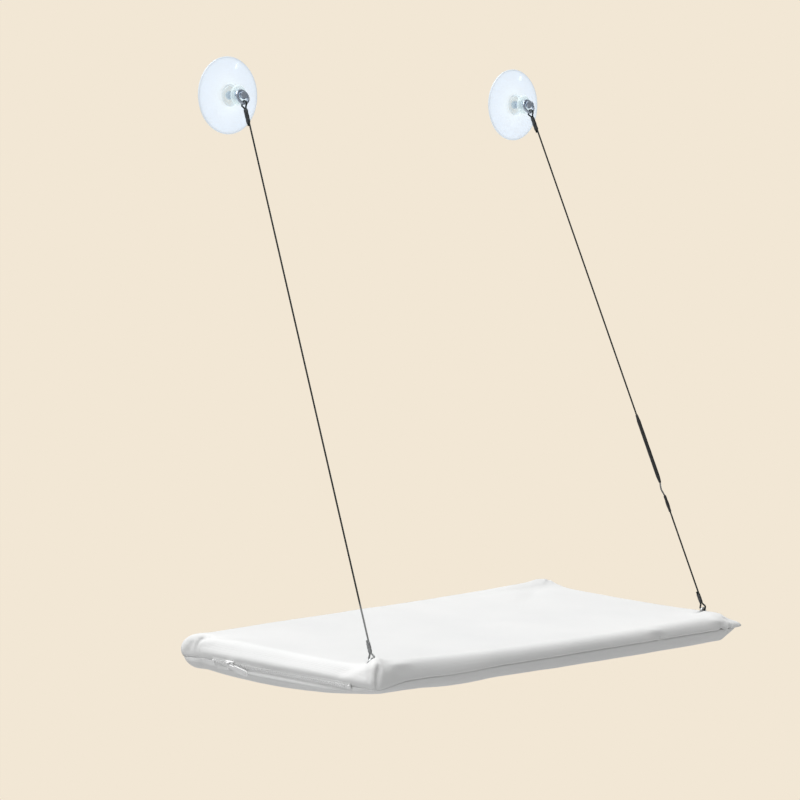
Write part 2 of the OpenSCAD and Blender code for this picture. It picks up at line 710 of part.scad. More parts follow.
// Foam mat that fills the frame, crowned under the top panel and full at its edge
module foam_mat() {
    w = pipe_x - mat_inset;
    d = pipe_y - mat_inset;
    hidden = fabric_t + mat_gap;
    function flat(share, is_top) = [for (p = outline(w, d, 0, mat_radii, no_ears))
        let (q = [p.x * share, bed_y + (p.y - bed_y) * share])
        [q.x, q.y, is_top ? top_height(q) - hidden : bottom_height(q) + hidden]];
    function side(height, out) = [for (p = outline(w, d, 0, mat_radii, no_ears))
        let (low = bottom_height(p) + hidden, high = top_height(p) - hidden, bulge = out * (high - low))
        [p.x * (1 + bulge / w), bed_y + (p.y - bed_y) * (1 + bulge / d), low + (high - low) * height]];
    color([0.85, 0.86, 0.85])
        ring_solid([0, bed_y, top_height([0, bed_y]) - hidden],
            [each [for (share = panel_inner_shares) panel_ring(share, true, hidden)], flat(mat_flat_share, true),
                each [for (e = mat_edge_shares) side(e[0], e[1])],
                flat(mat_flat_share, false), each [for (share = panel_inner_shares) panel_ring(share, false, hidden)]],
            [0, bed_y, bottom_height([0, bed_y]) + hidden]);
}

// Slots through the cover's back edge for the two clips, as high as the clips reach when the bed folds
module clip_slots() {
    for (s = [-1, 1])
        translate([s * clip_span / 2 - clip_w / 2 - slot_side, rear_pipe_y - slot_side,
            pipe_z + slot_top - pipe_d - 2 * slot_top])
            cube([clip_w + 2 * slot_side, pipe_inset + slot_side + cut, pipe_d + 2 * slot_top]);
}

// Top half of the cover: the panel the cat lies on, rolled over the pipes down to the seam
module cover_top() {
    outer = concat([for (share = top_outer_shares) panel_ring(share, true, 0)],
        [for (a = top_angles) roll_ring(a, 0)]);
    // The inner face keeps to the outer face's rings, so that the lifted corners keep their thickness
    inner = concat([for (i = [len(top_angles) - 1 : -1 : 0]) roll_ring(top_angles[i], fabric_t)],
        [for (i = [len(top_outer_shares) - 1 : -1 : 0]) panel_ring(top_outer_shares[i], true, fabric_t)]);
    middle = top_height([0, bed_y]);
    color([0.95, 0.95, 0.94])
        difference() {
            ring_solid([0, bed_y, middle], concat(outer, inner), [0, bed_y, middle - fabric_t]);
            clip_slots();
            for (s = [-1, 1])
                translate([s * eye_x, eye_y, pipe_z + pipe_r / 2])
                    cylinder(r = eye_hole_r, h = pipe_d, $fn = hole_sides);
        }
}

// Bottom half of the cover, from the seam under the pipes to the slack panel below
module cover_bottom() {
    outer = concat([for (share = bottom_outer_shares) panel_ring(share, false, 0)],
        [for (i = [len(bottom_angles) - 1 : -1 : 0]) roll_ring(bottom_angles[i], 0)]);
    inner = concat([for (a = bottom_angles) roll_ring(a, fabric_t)],
        [for (share = panel_inner_shares) panel_ring(share, false, fabric_t)]);
    middle = bottom_height([0, bed_y]);
    color([0.9, 0.9, 0.89])
        difference() {
            translate([0, 0, -seam_gap])
                ring_solid([0, bed_y, middle + fabric_t], [for (i = [len(inner) - 1 : -1 : 0]) inner[i],
                    for (i = [len(outer) - 1 : -1 : 0]) outer[i]], [0, bed_y, middle]);
            clip_slots();
        }
}

// Puts children at a place along the zip, with -X away from the fabric, Y along the zip and Z across it
module at_zip(y) {
    translate([zip_x, y, seam_z]) rotate([0, zip_tilt, 0]) children();
}

// Box of the zip from a distance off the fabric, with its thickness, length and width
module zip_block(off, t, length, w) {
    translate([-off - t, -length / 2, -w / 2]) cube([t, length, w]);
}

// Tape with its closed row of teeth and an end stop at each end
module zip_tape() {
    color([0.93, 0.93, 0.93])
        at_zip(bed_y) {
            zip_block(tape_gap, tape_t, zip_len, tape_w);
            zip_block(tape_gap, tape_t + teeth_t, zip_len, teeth_w);
            for (y = [-1, 1])
                translate([0, y * (zip_len - stop_len) / 2, 0])
                    zip_block(tape_gap, tape_t + teeth_t + slider_wall, stop_len, teeth_w);
        }
}

// Slider that wraps the teeth, with two lugs for the pull tab
module zip_slider() {
    depth = teeth_t + slider_wall;
    from = teeth_at + slider_gap;
    lug_r = barrel_d / 2 + slider_wall / 2;
    color([0.9, 0.9, 0.9])
        at_zip(slider_y)
            difference() {
                union() {
                    zip_block(from, depth, slider_len, slider_w);
                    for (z = [-slider_w / 2, slider_w / 2 - lug_t])
                        translate([-barrel_at, 0, z]) {
                            cylinder(r = lug_r, h = lug_t);
                            translate([0, -lug_r, 0]) cube([barrel_at - slider_at, 2 * lug_r, lug_t]);
                        }
                }
                zip_block(from - cut, teeth_t + cut, slider_len + 2 * cut, teeth_w + 2 * slider_gap);
                translate([-barrel_at, 0, -slider_w])
                    cylinder(d = barrel_pin_d + 2 * pin_gap, h = 2 * slider_w);
            }
}

// Pull tab on a barrel whose pins turn in the slider's lugs
module zip_pull() {
    color([0.94, 0.94, 0.94])
        at_zip(slider_y)
            translate([-barrel_at, 0, 0])
                difference() {
                    union() {
                        cylinder(d = barrel_d, h = barrel_len, center = true);
                        cylinder(d = barrel_pin_d, h = slider_w, center = true);
                        translate([-pull_t / 2, 0, 0]) rotate([pull_droop, 0, 0]) mirror([0, 1, 0])
                            rotate([90, 0, 90]) linear_extrude(pull_t) {
                                translate([0, -pull_neck_w / 2]) square([pull_neck_len, pull_neck_w]);
                                translate([pull_neck_len, -pull_w / 2])
                                    square([pull_len - pull_neck_len - pull_w / 2, pull_w]);
                                translate([pull_len - pull_w / 2, 0]) circle(d = pull_w);
                            }
                    }
                    rotate([pull_droop, 0, 0]) translate([-pull_t, -pull_len + pull_w / 2, 0])
                        rotate([0, 90, 0]) cylinder(d = pull_hole_d, h = 2 * pull_t);
                }
}

// Clear soft cup behind the back pipe, with a button that a clip snaps on
module lower_cup(s) {
    rim_r = low_cup_d / 2;
    button_top = button_from + button_t;
    color([0.9, 0.95, 0.98, 0.5])
        translate([s * clip_span / 2, 0, low_cup_z]) off_glass()
            rotate_extrude()
                polygon([[0, low_cup_hollow], [low_shoulder_d / 2, low_cup_hollow],
                    [rim_r - 2 * low_cup_land, low_cup_hollow / 2], [rim_r - low_cup_land, 0], [rim_r, 0],
                    [rim_r, low_cup_rim_t],
                    each [for (a = [1 : 5])
                        [rim_r + (low_shoulder_d / 2 - rim_r) * a / 5,
                            low_cup_rim_t + (low_cup_dome - low_cup_rim_t) * pow(a / 5, 2)]],
                    [low_shoulder_d / 2, clip_back - button_gap], [neck_d / 2, clip_back - button_gap],
                    [neck_d / 2, button_from], [button_d / 2, button_from],
                    [button_d / 2, button_top - button_t / 4], [button_d / 2 - button_t / 4, button_top],
                    [0, button_top]]);
}

// Plastic clip on a lower cup's button. The back pipe turns in its jaw.
module pipe_clip(s) {
    block_d = -rear_pipe_y - block_reach - clip_back;
    color([0.92, 0.92, 0.91])
        translate([s * clip_span / 2, 0, 0])
            difference() {
                union() {
                    translate([-clip_w / 2, rear_pipe_y, pipe_z]) rotate([0, 90, 0])
                        cylinder(r = jaw_out_r, h = clip_w);
                    translate([-clip_w / 2, -clip_back - block_d, low_cup_z - block_h / 2])
                        cube([clip_w, block_d, block_h]);
                }
                // The bore that the pipe turns in, and its mouth, which faces up and away from the glass
                translate([-clip_w / 2 - cut, rear_pipe_y, pipe_z]) rotate([0, 90, 0])
                    cylinder(r = jaw_r, h = clip_w + 2 * cut);
                translate([-clip_w / 2 - cut, rear_pipe_y, pipe_z]) rotate([90, 0, 90])
                    linear_extrude(clip_w + 2 * cut)
                        polygon([[0, 0], each [for (a = [-1, -0.5, 0, 0.5, 1])
                            2 * jaw_out_r * [cos(135 + a * mouth_angle / 2), sin(135 + a * mouth_angle / 2)]]]);
                // The hole that the button snaps through, and the pocket it sits in
                translate([0, -clip_back + cut, low_cup_z]) off_glass()
                    cylinder(d = neck_d + 2 * button_gap, h = web_t + 2 * cut);
                translate([0, -clip_back - web_t, low_cup_z]) off_glass()
                    cylinder(d = button_d + 2 * button_gap, h = block_d - web_t + cut);
            }
}

upper_cup(-1);  // left_upper_cup
upper_cup(1);  // right_upper_cup
stud(-1);  // left_stud
stud(1);  // right_stud
cord_ring(-1);  // left_cord_ring
cord_ring(1);  // right_cord_ring
thumb_knob(-1);  // left_thumb_knob
thumb_knob(1);  // right_thumb_knob
upper_loop(-1);  // left_upper_loop
upper_loop(1);  // right_upper_loop
crimp(-1, upper_crimp_at, upper_crimp_len);  // left_upper_crimp
crimp(1, upper_crimp_at, upper_crimp_len);  // right_upper_crimp
cord_span(-1, []);  // left_cord
cord_span(1, kink_points);  // right_cord
splice_sleeve(sleeve_place, sleeve_len, sleeve_d);  // long_splice_sleeve
splice_sleeve(splice_at, splice_len, splice_d);  // short_splice_sleeve
crimp(-1, cord_length(-1) - lower_crimp_back, lower_crimp_len);  // left_lower_crimp
crimp(1, cord_length(1) - lower_crimp_back, lower_crimp_len);  // right_lower_crimp
lower_loop(-1);  // left_lower_loop
lower_loop(1);  // right_lower_loop
screw_eye(-1);  // left_screw_eye
screw_eye(1);  // right_screw_eye
pipe(2 * bend_x, [0, rear_pipe_y, pipe_z], true);  // rear_pipe
pipe(2 * bend_x, [0, front_pipe_y, pipe_z], true);  // front_pipe
pipe(2 * bend_y, [-pipe_x, bed_y, pipe_z], false);  // left_pipe
pipe(2 * bend_y, [pipe_x, bed_y, pipe_z], false);  // right_pipe
elbow(-1, 1, false);  // rear_left_elbow
elbow(1, 1, false);  // rear_right_elbow
elbow(-1, -1, true);  // front_left_elbow
elbow(1, -1, true);  // front_right_elbow
foam_mat();
cover_top();
cover_bottom();
zip_tape();
zip_slider();
zip_pull();
lower_cup(-1);  // left_lower_cup
lower_cup(1);  // right_lower_cup
pipe_clip(-1);  // left_pipe_clip
pipe_clip(1);  // right_pipe_clip
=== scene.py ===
# Window mounted cat perch: photograph's view, studio light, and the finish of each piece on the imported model
import math
import bmesh
import bpy
from mathutils import Matrix, Vector, noise


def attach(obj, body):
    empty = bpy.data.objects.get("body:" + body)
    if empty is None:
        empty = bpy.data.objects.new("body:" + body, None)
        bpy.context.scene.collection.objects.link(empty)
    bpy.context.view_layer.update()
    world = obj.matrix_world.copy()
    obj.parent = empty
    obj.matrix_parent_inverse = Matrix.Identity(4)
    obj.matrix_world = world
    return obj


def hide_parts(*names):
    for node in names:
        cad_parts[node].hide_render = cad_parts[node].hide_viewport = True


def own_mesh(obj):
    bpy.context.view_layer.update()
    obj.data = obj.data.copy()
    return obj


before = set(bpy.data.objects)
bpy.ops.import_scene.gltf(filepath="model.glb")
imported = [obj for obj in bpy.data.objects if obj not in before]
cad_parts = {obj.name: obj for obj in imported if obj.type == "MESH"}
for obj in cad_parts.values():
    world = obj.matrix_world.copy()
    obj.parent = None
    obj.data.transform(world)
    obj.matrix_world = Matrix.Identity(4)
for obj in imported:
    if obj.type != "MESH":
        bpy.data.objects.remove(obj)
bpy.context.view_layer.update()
bpy.ops.object.select_all(action="DESELECT")
mm = 0.001

# Camera
# It stands left of the bed, a little above its top, and looks up along the window at 44 degrees.
# Its place and focal length were worked out from the bed's four corners and the two cups.
camera_spot = Vector((-2.2758, -2.3736, 0.5081))
azimuth, elevation, roll = (math.radians(v) for v in (-44.306, 4.425, 0.44))
back = Vector((math.sin(azimuth) * math.cos(elevation), -math.cos(azimuth) * math.cos(elevation),
               math.sin(elevation)))
right = (-back).cross(Vector((0, 0, 1))).normalized()
up = right.cross(-back)
lens_x = right * math.cos(roll) + up * math.sin(roll)
lens_y = up * math.cos(roll) - right * math.sin(roll)
bpy.ops.object.camera_add(location=(0, 0, 0))
camera = bpy.context.object
camera.name = "photo_camera"
camera.matrix_world = Matrix((
    (lens_x.x, lens_y.x, back.x, camera_spot.x),
    (lens_x.y, lens_y.y, back.y, camera_spot.y),
    (lens_x.z, lens_y.z, back.z, camera_spot.z),
    (0, 0, 0, 1)))
camera.data.sensor_width = 36
camera.data.lens = 129.528
camera.data.clip_end = 2000
bpy.context.scene.camera = camera
bpy.context.scene.view_settings.view_transform = "Standard"

# Studio
# A broad soft light hangs over the perch and a little to its left, with an even room light round it and a
# pale floor well below.
# The floor is cream to the eye and grey to the light that it sends back, so that the fabric stays white.
bpy.ops.object.light_add(type="SUN", location=(0, -0.4, 2.5),
                         rotation=(math.radians(-10), math.radians(-18), 0))
overhead = bpy.context.object
overhead.name = "overhead_light"
overhead.data.energy = 2.97
overhead.data.angle = math.radians(60)
cream = (0.888, 0.799, 0.665, 1)


def stage_finish(material_tree, output, shown, unseen):
    """Sends one surface to the eye and another to the light that bounces."""
    path = material_tree.nodes.new("ShaderNodeLightPath")
    choice = material_tree.nodes.new("ShaderNodeMixShader")
    material_tree.links.new(path.outputs["Is Camera Ray"], choice.inputs[0])
    material_tree.links.new(unseen, choice.inputs[1])
    material_tree.links.new(shown, choice.inputs[2])
    material_tree.links.new(choice.outputs[0], output.inputs["Surface"])


room = bpy.data.worlds.new("studio_room")
bpy.context.scene.world = room
room.use_nodes = True
tree = room.node_tree
tree.nodes.clear()
seen_wall = tree.nodes.new("ShaderNodeBackground")
seen_wall.inputs["Color"].default_value = cream
room_light = tree.nodes.new("ShaderNodeBackground")
room_light.inputs["Color"].default_value = (0.99, 1, 0.985, 1)
room_light.inputs["Strength"].default_value = 0.22
stage_finish(tree, tree.nodes.new("ShaderNodeOutputWorld"), seen_wall.outputs[0], room_light.outputs[0])

bpy.ops.mesh.primitive_plane_add(size=400, location=(0, 0, -0.36))
floor = bpy.context.object
floor.name = "studio_floor"
floor_finish = bpy.data.materials.new("studio_floor")
floor_finish.use_nodes = True
tree = floor_finish.node_tree
tree.nodes.clear()
shown_floor = tree.nodes.new("ShaderNodeEmission")
shown_floor.inputs["Color"].default_value = cream
grey_floor = tree.nodes.new("ShaderNodeBsdfDiffuse")
grey_floor.inputs["Color"].default_value = (0.53, 0.53, 0.53, 1)
stage_finish(tree, tree.nodes.new("ShaderNodeOutputMaterial"), shown_floor.outputs[0], grey_floor.outputs[0])
floor.data.materials.append(floor_finish)


# Cords
# Each is a 2 mm wire rope of six strands in a thin dark coat, drawn tight from a ring on the upper cup's
# stud down to a screw eye in the bed's front corner. The left one's coat is worn off near the bed, and
# the right one is bare where it bends between its two sleeves.
hands = ((-1, "left"), (1, "right"))
cup_span, ring_seat, ring_top = 448, 23, 599.7
eye_x, eye_y, eye_top = 263.07, -273.154, 17.7
strand_offset = 1.1
# Each crimp's distance from its end of the span, and its length. The cord starts and ends in mid crimp.
(upper_crimp, upper_crimp_long), (lower_crimp, lower_crimp_long) = (21.8, 16), (7.1, 10)
cord_from, cord_to_back = upper_crimp + upper_crimp_long / 2, lower_crimp + lower_crimp_long / 2
# Where each sleeve starts along the right cord, and its length
(long_sleeve_at, long_sleeve_long), (short_sleeve_at, short_sleeve_long) = (368, 84), (468, 20)


def cord_axes(side):
    """Start of a cord's line, its way down, its side direction, its outward direction and its length."""
    start = Vector((side * cup_span / 2, -ring_seat, ring_top))
    end = Vector((side * eye_x, eye_y, eye_top))
    down = (end - start).normalized()
    across = down.cross(Vector((0, 1, 0))).normalized()
    return start, down, across, down.cross(across), (end - start).length


def on_cord(side, at, out=0.0, sideways=0.0):
    """A point down a cord, in metres, and how far it lies off the cord's line to two sides."""
    start, down, across, outward, _ = cord_axes(side)
    return (start + down * at + outward * out + across * sideways) * mm


def principled(name):
    """A new material with one Principled surface."""
    material = bpy.data.materials.new(name)
    material.use_nodes = True
    return material, material.node_tree, material.node_tree.nodes["Principled BSDF"]


def node(tree, kind, **settings):
    """A new node, with each setting put on its input of that name, or else on the node itself."""
    made = tree.nodes.new(kind)
    for key, value in settings.items():
        if key in made.inputs:
            made.inputs[key].default_value = value
        else:
            setattr(made, key, value)
    return made


def colour_ramp(tree, source, stops):
    """Colour that follows a value, by stops of (value, colour)."""
    ramp = tree.nodes.new("ShaderNodeValToRGB")
    while len(ramp.color_ramp.elements) < len(stops):
        ramp.color_ramp.elements.new(0.5)
    for element, (place, colour) in zip(ramp.color_ramp.elements, stops):
        element.position = place
        element.color = (*colour, 1)
    tree.links.new(source, ramp.inputs["Fac"])
    return ramp.outputs["Color"]


def bump(tree, surface, height, strength, distance):
    """Bumps on a surface that follow a value."""
    made = tree.nodes.new("ShaderNodeBump")
    made.inputs["Strength"].default_value = strength
    made.inputs["Distance"].default_value = distance
    tree.links.new(height, made.inputs["Height"])
    tree.links.new(made.outputs["Normal"], surface.inputs["Normal"])


def on_object(tree, kind, stretch=(1, 1, 1), **settings):
    """A texture in the piece's own coordinates, drawn together along an axis where stretch is over 1."""
    where = node(tree, "ShaderNodeTexCoord")
    spread = node(tree, "ShaderNodeMapping", Scale=stretch)
    texture = node(tree, kind, **settings)
    tree.links.new(where.outputs["Object"], spread.inputs["Vector"])
    tree.links.new(spread.outputs["Vector"], texture.inputs["Vector"])
    return texture


def grained(name, dark, light, roughness, strength, distance, **settings):
    """A finish whose colour and bumps follow one fine noise, from a dark to a light stop."""
    material, tree, surface = principled(name)
    grain = on_object(tree, "ShaderNodeTexNoise", **settings).outputs["Fac"]
    tree.links.new(colour_ramp(tree, grain, [dark, light]), surface.inputs["Base Color"])
    bump(tree, surface, grain, strength, distance)
    surface.inputs["Roughness"].default_value = roughness
    return material, surface


def recoloured(finish, name, dark, light):
    """A copy of a grained finish in two other colours."""
    made = finish.copy()
    made.name = name
    for ramp in [n for n in made.node_tree.nodes if n.type == "VALTORGB"]:
        ramp.color_ramp.elements[0].color = (*dark, 1)
        ramp.color_ramp.elements[1].color = (*light, 1)
    return made


def rope_finish(name, stops):
    """Dark coated wire, with its colour along the rope given by stops of (share of the length, colour)."""
    material, tree, surface = principled(name)
    place = node(tree, "ShaderNodeAttribute", attribute_name="along")
    spots = on_object(tree, "ShaderNodeTexNoise", Scale=900.0, Detail=3.0)
    spread = node(tree, "ShaderNodeMix", data_type="RGBA", blend_type="MULTIPLY")
    spread.inputs["Factor"].default_value = 0.45
    tree.links.new(colour_ramp(tree, place.outputs["Fac"], stops), spread.inputs[6])
    tree.links.new(colour_ramp(tree, spots.outputs["Fac"], [(0.3, (0.5, 0.52, 0.52)), (0.7, (1, 1, 1))]),
                   spread.inputs[7])
    tree.links.new(spread.outputs[2], surface.inputs["Base Color"])
    bump(tree, surface, spots.outputs["Fac"], 0.25, 0.0002)
    surface.inputs["Metallic"].default_value = 0.35
    surface.inputs["Roughness"].default_value = 0.42
    return material


def wire_rope(name, route, finish, pitch=14.0, thick=2.0, strands=6):
    """Strands laid round the route as thin tubes, with the share of the length kept on the mesh."""
    facets = 5
    # A loop's route has many points, and a cord's has few
    bent = len(route) > 11
    spacing = (0.5 if bent else pitch / 10) * mm
    path = [route[0]]
    for a, b in zip(route, route[1:]):
        count = max(1, round((b - a).length / spacing))
        path += [a.lerp(b, k / count) for k in range(1, count + 1)]
    lay = Vector((1, 0.15, 0))
    strand_r, centre_r = thick / 6 * mm, thick / 3 * mm
    points, shares, faces, run = [], [], [], 0.0
    total = sum((b - a).length for a, b in zip(path, path[1:]))
    for i, here in enumerate(path):
        ahead = (path[min(i + 1, len(path) - 1)] - path[max(i - 1, 0)]).normalized()
        lay = (lay - ahead * lay.dot(ahead)).normalized()
        beside = ahead.cross(lay)
        run += (here - path[i - 1]).length if i else 0
        for s in range(strands):
            turn = math.tau * (s / strands + run / (pitch * mm))
            out = lay * math.cos(turn) + beside * math.sin(turn)
            round_it = ahead.cross(out)
            for k in range(facets):
                a = math.tau * k / facets
                points.append(here + out * (centre_r + strand_r * math.cos(a))
                              + round_it * strand_r * math.sin(a))
                shares.append(run / total)
    ring = strands * facets
    last = (len(path) - 1) * ring
    for s in range(strands):
        first = s * facets
        for i in range(len(path) - 1):
            for k in range(facets):
                a, b = i * ring + first + k, i * ring + first + (k + 1) % facets
                faces.append((a, b, b + ring, a + ring))
        faces.append([first + k for k in reversed(range(facets))])
        faces.append([last + first + k for k in range(facets)])
    mesh = bpy.data.meshes.new(name)
    mesh.from_pydata(points, [], faces)
    mesh.polygons.foreach_set("use_smooth", [len(f) == 4 for f in faces])
    place = mesh.attributes.new("along", "FLOAT", "POINT")
    place.data.foreach_set("value", shares)
    mesh.materials.append(finish)
    rope = bpy.data.objects.new(name, mesh)
    bpy.context.collection.objects.link(rope)
    return rope, path


coat, worn, bare = (0.030, 0.042, 0.040), (0.42, 0.43, 0.43), (0.30, 0.31, 0.31)
left_coat = rope_finish("left_cord_coat", [(0, coat), (0.918, coat), (0.93, worn), (1, worn)])
right_coat = rope_finish("right_cord_coat", [(0, coat), (0.758, coat), (0.765, bare), (0.785, bare),
                                             (0.792, coat), (1, coat)])


def fold_with_bed(piece):
    """Gives a piece on the cord its own copy of its mesh."""
    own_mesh(piece)


# The bare bend between the two sleeves, as places down the cord and how far each lies off its line
kink = [(452, 0), (456, -1.32), (460, -2.2), (464, -1.21), (468, 0)]
for side, name, coating in ((-1, "left_cord", left_coat), (1, "right_cord", right_coat)):
    length = cord_axes(side)[4]
    bends = [(long_sleeve_at, 0), *kink, (short_sleeve_at + short_sleeve_long, 0)] if side > 0 else []
    route = [on_cord(side, cord_from, strand_offset)]
    route += [on_cord(side, cord_from + at, strand_offset, out) for at, out in bends]
    route.append(on_cord(side, length - cord_to_back, strand_offset))
    rope, path = wire_rope(name + "_rope", route, coating)
    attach(rope, "window_hardware")
    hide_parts(name)
    fold_with_bed(rope)


# Loops
# The same rope, bent back on itself through the ring at the top and the screw eye at the bottom.
# Its cut end stands a little past the crimp that holds both strands.
def loop_route(side, way, bend_at, crimp_from, crimp_long):
    """From the cut end through the crimp, round the bend and back to the crimp's middle."""
    bend_r, cut_end, flare = 4, 3, 0.25
    route = [on_cord(side, crimp_from + way * (crimp_long + cut_end), -strand_offset),
             on_cord(side, crimp_from, -strand_offset),
             on_cord(side, crimp_from - way * 2, -strand_offset - flare)]
    for a in range(0, 181, 12):
        t = math.radians(a)
        route.append(on_cord(side, bend_at - way * bend_r * math.sin(t), -bend_r * math.cos(t)))
    return route + [on_cord(side, crimp_from - way * 2, strand_offset + flare),
                    on_cord(side, crimp_from, strand_offset),
                    on_cord(side, crimp_from + way * crimp_long / 2, strand_offset)]


dark_loop = rope_finish("dark_loop_coat", [(0, coat), (1, coat)])
worn_loop = rope_finish("worn_loop_coat", [(0, worn), (1, worn)])
upper_bend, lower_bend = 16.3, 1.6
for side, hand in hands:
    length = cord_axes(side)[4]
    upper, _ = wire_rope(hand + "_upper_rope_loop",
                         loop_route(side, 1, upper_bend, upper_crimp, upper_crimp_long), dark_loop)
    lower, _ = wire_rope(hand + "_lower_rope_loop",
                         loop_route(side, -1, length - lower_bend, length - lower_crimp, lower_crimp_long),
                         worn_loop if side < 0 else dark_loop)
    for loop, body, cad in ((upper, "window_hardware", "_upper_loop"), (lower, "bed", "_lower_loop")):
        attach(loop, body)
        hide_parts(hand + cad)


# Splice sleeves
# Two dark shrink sleeves cover a repair in the right cord, a long one above the bare bend and a short one
# below it. Each was shrunk down over the rope, so it thins at both ends and its skin is slightly uneven.
def pick(*pieces):
    """Selects these pieces alone, with the first one active."""
    bpy.ops.object.select_all(action="DESELECT")
    for piece in pieces:
        piece.select_set(True)
    bpy.context.view_layer.objects.active = pieces[0]


def joined(*pieces):
    """Makes these pieces one, under the first one's name."""
    pick(*pieces)
    bpy.ops.object.join()
    return pieces[0]


def edit(piece):
    """Picks a piece and opens its mesh."""
    pick(piece)
    bpy.ops.object.mode_set(mode="EDIT")


def turned(name, profile, sides=48, closed=False):
    """Turns a profile of (radius, height) in mm about Z: a circle extruded and sized from step to step."""
    (r, z), *steps = profile
    on_axis = 0.001
    bpy.ops.object.select_all(action="DESELECT")
    bpy.ops.mesh.primitive_circle_add(vertices=sides, radius=r * mm, location=(0, 0, 0),
                                      fill_type="NOTHING" if closed else "NGON")
    piece = bpy.context.object
    piece.name = piece.data.name = name
    bpy.ops.object.mode_set(mode="EDIT")
    bpy.ops.mesh.select_all(action="SELECT")
    bpy.ops.transform.translate(value=(0, 0, z * mm))
    if closed:
        steps = [*steps, profile[0]]
    for new_r, new_z in steps:
        bpy.ops.mesh.extrude_region_move(TRANSFORM_OT_translate={"value": (0, 0, (new_z - z) * mm)})
        size = max(new_r, on_axis) / r
        bpy.ops.transform.resize(value=(size, size, 1), center_override=(0, 0, new_z * mm))
        r, z = max(new_r, on_axis), new_z
    bpy.ops.mesh.select_all(action="SELECT")
    bpy.ops.mesh.remove_doubles(threshold=0.00001)
    bpy.ops.mesh.normals_make_consistent(inside=False)
    bpy.ops.object.mode_set(mode="OBJECT")
    bpy.ops.object.shade_smooth_by_angle(angle=math.radians(38))
    return piece


def seat(piece, place):
    """Puts a piece at its place, with the place kept in its mesh."""
    pick(piece)
    piece.matrix_world = place
    bpy.ops.object.transform_apply(location=True, rotation=True, scale=True)
    return piece


def at_cord(side, at, out=0.0):
    """A place down a cord, with Z down the cord and X along the window."""
    _, down, across, outward, _ = cord_axes(side)
    spot = on_cord(side, at, out)
    return Matrix(((across.x, outward.x, down.x, spot.x), (across.y, outward.y, down.y, spot.y),
                   (across.z, outward.z, down.z, spot.z), (0, 0, 0, 1)))


sleeve_skin, _ = grained("shrunk_sleeve", (0.3, (0.010, 0.011, 0.012)), (0.75, (0.034, 0.037, 0.038)),
                         0.55, 0.35, 0.0004, Scale=420.0, Detail=5.0, Roughness=0.6)

for name, cad, at, long, thick, tip in (
        ("long_sleeve", "long_splice_sleeve", long_sleeve_at, long_sleeve_long, 4.4, 0.7),
        ("short_sleeve", "short_splice_sleeve", short_sleeve_at, short_sleeve_long, 3.8, 1.15)):
    half = thick / 2
    profile = [(1.06 + 0.3 * tip, 0), (1.35 + 0.3 * tip, 2.2), (half - 0.4, 5.5), (half, 8)]
    waist = [(half * (1 - 0.05 * math.sin(k * 1.9) ** 2), 8 + k * (long - 16) / 9) for k in range(1, 9)]
    profile += waist + [(half, long - 8), (half - 0.3, long - 4.5), (1.5, long - 1), (1.15, long)]
    sleeve = turned(name, profile, sides=20)
    seat(sleeve, at_cord(1, cord_from + at, strand_offset))
    sleeve.data.materials.append(sleeve_skin)
    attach(sleeve, "window_hardware")
    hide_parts(cad)
    fold_with_bed(sleeve)


# Crimps
# Soft metal ferrules pressed over both strands of a loop. The press leaves two waists across each one.
crimp_metal, surface = grained("pressed_ferrule", (0.35, (0.035, 0.038, 0.04)), (0.7, (0.12, 0.125, 0.13)),
                               0.4, 0.3, 0.0003, Scale=650.0, Detail=4.0)
surface.inputs["Metallic"].default_value = 0.75
pale_crimp = recoloured(crimp_metal, "bare_ferrule", (0.26, 0.27, 0.28), (0.5, 0.51, 0.52))

for side, hand in hands:
    length = cord_axes(side)[4]
    for end, at, long, body, wide in (
            ("upper", upper_crimp, upper_crimp_long, "window_hardware", 1.6),
            ("lower", length - lower_crimp - lower_crimp_long, lower_crimp_long, "bed", 1.4)):
        mouth, slim = 1.15, wide - 0.15
        presses = [(wide, 0.16), (slim, 0.24), (slim, 0.36), (wide, 0.44),
                   (wide, 0.56), (slim, 0.64), (slim, 0.76), (wide, 0.84)]
        profile = [(mouth, 0), (slim, 0.35), *((r, long * share) for r, share in presses),
                   (slim, long - 0.35), (mouth, long)]
        crimp = turned(f"{hand}_{end}_ferrule", profile, sides=32)
        edit(crimp)
        for way in (-1, 1):
            bpy.ops.mesh.select_all(action="DESELECT")
            shell = bmesh.from_edit_mesh(crimp.data)
            for v in shell.verts:
                v.select_set(v.co.y * way > 0.00001)
            shell.select_flush_mode()
            bmesh.update_edit_mesh(crimp.data)
            bpy.ops.transform.translate(value=(0, way * strand_offset * mm, 0))
        bpy.ops.object.mode_set(mode="OBJECT")
        seat(crimp, at_cord(side, at))
        crimp.data.materials.append(pale_crimp if (hand, end) == ("left", "lower") else crimp_metal)
        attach(crimp, body)
        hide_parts(f"{hand}_{end}_crimp")


# Cord rings
# A round steel ring hangs on each stud in front of the knob. Its wire was bent round and closed with a
# short sleeve beside the top, and the cord's upper loop pulls on its lowest point.
steel, surface = grained("bright_steel", (0.3, (0.34, 0.40, 0.50)), (0.7, (0.62, 0.69, 0.80)),
                         0.24, 0.12, 0.0002, stretch=(1, 5, 1), Scale=300.0, Detail=6.0, Roughness=0.7)
surface.inputs["Metallic"].default_value = 0.6

